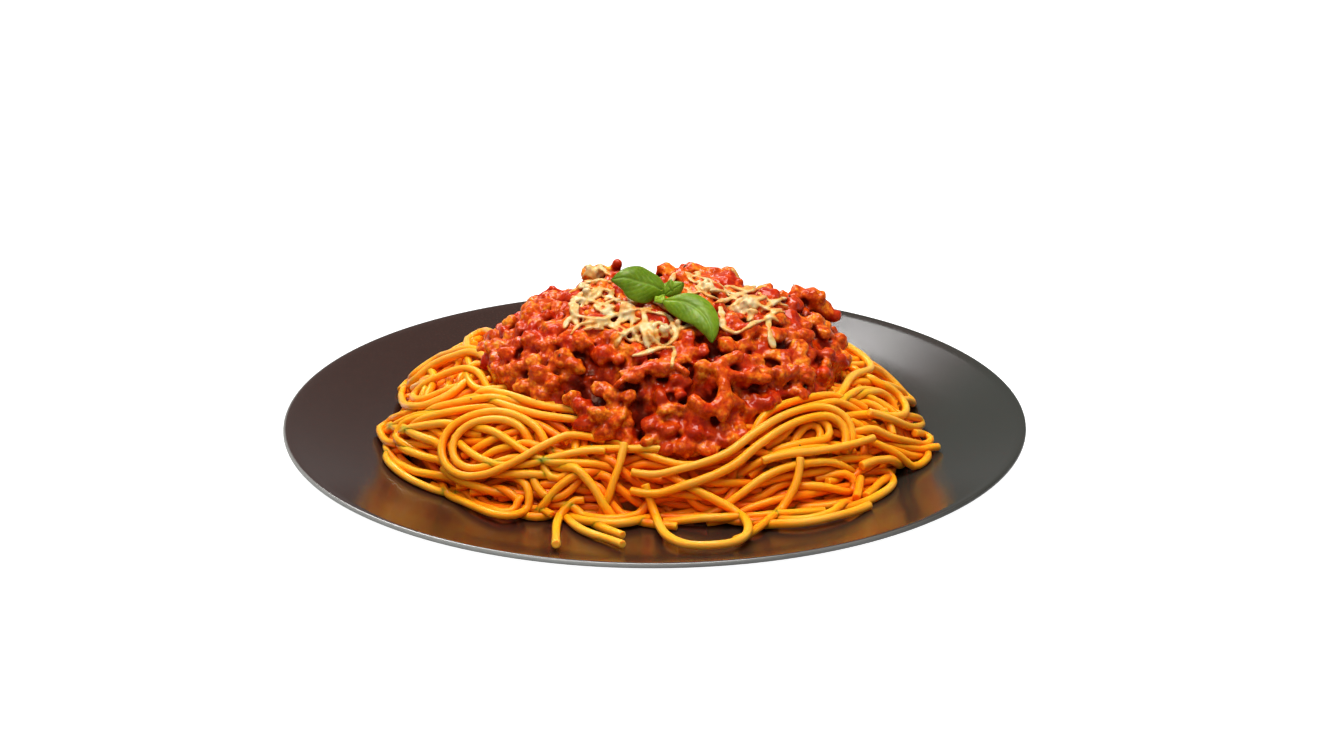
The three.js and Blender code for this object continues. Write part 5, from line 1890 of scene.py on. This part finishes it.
# The leaves: the midrib from stem to tip as (pixel across, pixel down, millimetres towards the back),
# the widest width, which way the upper side looks, how deep the halves fold down, and how yellow it is
LEAVES = [
    {"rib": [(665, 293, -8), (655, 287, -8.5), (641, 282, -9.5), (625, 278, -9.5), (611, 280, -9)],
     "width": 13.5, "face": (-0.05, -0.7, 0.72), "fold": 0.30, "tone": 0.0},
    {"rib": [(663, 301, -12.5), (674, 301, -15.5), (687, 303, -18), (698, 309, -20.5),
             (706, 318, -23), (711, 331, -26), (712, 343, -27.5)],
     "width": 11.5, "face": (0.05, -0.62, 0.78), "fold": 0.34, "tone": 0.1},
    {"rib": [(665, 295, -8.5), (673, 289, -9), (684, 283, -8.5)],
     "width": 5.6, "face": (0.3, -0.7, 0.65), "fold": 0.5, "tone": 0.25},
    {"rib": [(664, 294, -8), (666, 287, -8), (672, 280, -7)],
     "width": 5.2, "face": (-0.5, -0.6, 0.6), "fold": 0.5, "tone": 0.2},
    {"rib": [(665, 296, -9), (660, 298, -11), (655, 302, -12.5)],
     "width": 3.6, "face": (0.0, -0.6, 0.8), "fold": 0.4, "tone": 0.6},
]
LEAF_THICK = 0.35
SPRIG_AT = (2.2, -8.0, 65.5)


def leaf_sheet(leaf, view, rows=44, columns=30):
    """One leaf as a closed thin shell: its points, faces and vein marks."""
    rib = np.array([view.at_depth(px, py, y) for px, py, y in leaf["rib"]])
    length = np.linalg.norm(np.diff(rib, axis=0), axis=1).sum()
    rib = smooth_line(rib, length / rows)
    rib = np.stack(
        [
            np.interp(
                np.linspace(0, 1, rows + 1), np.linspace(0, 1, len(rib)), rib[:, k]
            ) for k in range(3)
        ],
        1
    )
    ahead = np.gradient(rib, axis=0)
    aside = np.cross(ahead, leaf["face"])
    aside /= np.linalg.norm(aside, axis=1)[:, None]
    upper = np.cross(aside, ahead)
    upper /= np.linalg.norm(upper, axis=1)[:, None]
    share, out = np.meshgrid(np.linspace(0, 1, rows + 1), np.linspace(-1, 1, columns + 1), indexing="ij")
    half = leaf["width"] / 2 * np.sin(np.pi * share**0.85) ** 0.8 + 0.2
    vein_place = (share - 0.42 * np.abs(out) ** 1.3) * 8.5
    vein_near = np.abs(vein_place - np.round(vein_place)) * 2
    side_vein = np.clip(1 - vein_near * 3.2, 0, 1) * (np.abs(out) < 0.93) * np.clip(share * 6, 0, 1)
    midrib = np.clip(1 - np.abs(out) * 9, 0, 1)
    vein = np.maximum(midrib, side_vein * 0.8)
    pucker = length * 0.018 * np.sin(np.pi * np.clip(vein_near, 0, 1)) * np.sin(np.pi * np.abs(out)) ** 0.7
    cup = -leaf["fold"] * out * out * half + 0.3 * np.sin(9 * share + 2 * out)
    height = cup + pucker - 0.35 * midrib - 0.12 * side_vein
    sheets, marks = [], []
    for side in (1, -1):
        rim = np.where((np.abs(out) == 1) | (share == 0) | (share == 1), 0.25, 1.0)
        lift = (height + side * rim * LEAF_THICK / 2)[..., None]
        sheets.append(
            (
                rib[:, None] + aside[:, None] * (out * half)[..., None] + upper[:, None] * lift
            ).reshape(-1, 3)
        )
        marks.append(vein.ravel())
    size = (rows + 1) * (columns + 1)
    at = lambda layer, row, column: layer * size + row * (columns + 1) + column
    faces = []
    for r in range(rows):
        for c in range(columns):
            faces.append((at(0, r, c), at(0, r + 1, c), at(0, r + 1, c + 1), at(0, r, c + 1)))
            faces.append((at(1, r, c), at(1, r, c + 1), at(1, r + 1, c + 1), at(1, r + 1, c)))
        faces.append((at(0, r, 0), at(1, r, 0), at(1, r + 1, 0), at(0, r + 1, 0)))
        faces.append((at(0, r + 1, columns), at(1, r + 1, columns), at(1, r, columns), at(0, r, columns)))
    for c in range(columns):
        faces.append((at(0, 0, c + 1), at(1, 0, c + 1), at(1, 0, c), at(0, 0, c)))
        faces.append((at(0, rows, c), at(1, rows, c), at(1, rows, c + 1), at(0, rows, c + 1)))
    return np.vstack(sheets), [tie[::-1] for tie in faces], np.concatenate(marks)


class DISH_OT_basil(bpy.types.Operator):
    """Make the sprig of basil"""

    bl_idname = "dish.basil"
    bl_label = "Basil"

    def execute(self, context):
        view = View()
        points, faces, veins, tones = [], [], [], []
        start = 0
        for leaf in LEAVES:
            sheet, ties, vein = leaf_sheet(leaf, view)
            points.append(sheet)
            faces += [tuple(start + i for i in tie) for tie in ties]
            veins.append(vein)
            tones.append(np.full(len(sheet), leaf["tone"]))
            start += len(sheet)
        piece = new_mesh("basil_leaves", np.vstack(points), faces)
        add_values(piece.data, "vein", np.concatenate(veins))
        add_values(piece.data, "tone", np.concatenate(tones))
        piece.data.shade_smooth()
        finish = leaf_finish()
        piece.data.materials.append(finish)
        finish_piece(piece, "basil_sprig", "basil_sprig")
        stem = np.array([(0, 0, 1.2), (0.3, 0.2, -1.0), (0.2, 0.8, -6.0)]) + SPRIG_AT
        values = {"tone": [np.full(3, 0.4)], "vein": [np.full(3, 0.5)]}
        stalk = tubes("basil_stem", [stem], [np.full(3, 0.9)], values, finish, 10)
        finish_piece(stalk, "basil_sprig")
        return {"FINISHED"}


class DISH_OT_herbs(bpy.types.Operator):
    """Scatter dried herbs"""

    bl_idname = "dish.herbs"
    bl_label = "Herbs"

    def execute(self, context):
        settings = context.scene.dish_herbs
        random = np.random.default_rng(settings.seed)
        surface = Surface("mince_in_sauce", "noodles")
        middles, sizes = [], []
        while len(middles) < settings.flecks:
            x, y = random.uniform(-85, 85), random.uniform(-60, 70)
            z = surface.top(x, y)
            if z and heap_top(np.array(x), np.array(y)) > 20:
                middles.append((x, y, z + 0.1))
                sizes.append(np.array((random.uniform(0.4, 1.1), random.uniform(0.25, 0.5), 0.12)))
        piece = balls("herb_flecks", middles, sizes, fleck_finish(), settings.seed, detail=1)
        finish_piece(piece, "basil_sprig")
        return {"FINISHED"}


CLASSES = (
    PlateSettings, SpaghettiSettings, SauceSettings, CheeseSettings, HerbSettings, StageSettings,
    DISH_OT_stage, DISH_OT_plate, DISH_OT_spaghetti, DISH_OT_sauce, DISH_OT_cheese, DISH_OT_basil,
    DISH_OT_herbs,
)
SETTINGS = {
    "dish_plate": PlateSettings, "dish_spaghetti": SpaghettiSettings, "dish_sauce": SauceSettings,
    "dish_cheese": CheeseSettings, "dish_herbs": HerbSettings, "dish_stage": StageSettings,
}


class DISH_PT_panel(bpy.types.Panel):
    """Shows the dish's settings and a button for each step"""

    bl_idname = "DISH_PT_panel"
    bl_label = "Spaghetti bolognese"
    bl_space_type = "VIEW_3D"
    bl_region_type = "UI"
    bl_category = "Dish"

    def draw(self, context):
        for name in SETTINGS:
            group = getattr(context.scene, name)
            box = self.layout.box()
            for key in group.__annotations__:
                box.prop(group, key)
        for kind in CLASSES:
            if issubclass(kind, bpy.types.Operator):
                self.layout.operator(kind.bl_idname)


def register():
    for kind in (*CLASSES, DISH_PT_panel):
        bpy.utils.register_class(kind)
    for name, kind in SETTINGS.items():
        setattr(bpy.types.Scene, name, PointerProperty(type=kind))


def unregister():
    for name in SETTINGS:
        delattr(bpy.types.Scene, name)
    for kind in reversed((*CLASSES, DISH_PT_panel)):
        bpy.utils.unregister_class(kind)


def main():
    register()
    bpy.ops.dish.stage()
    bpy.ops.dish.plate()
    bpy.ops.dish.spaghetti()
    bpy.ops.dish.sauce()
    bpy.ops.dish.cheese()
    bpy.ops.dish.basil()
    bpy.ops.dish.herbs()


if __name__ == "__main__":
    main()
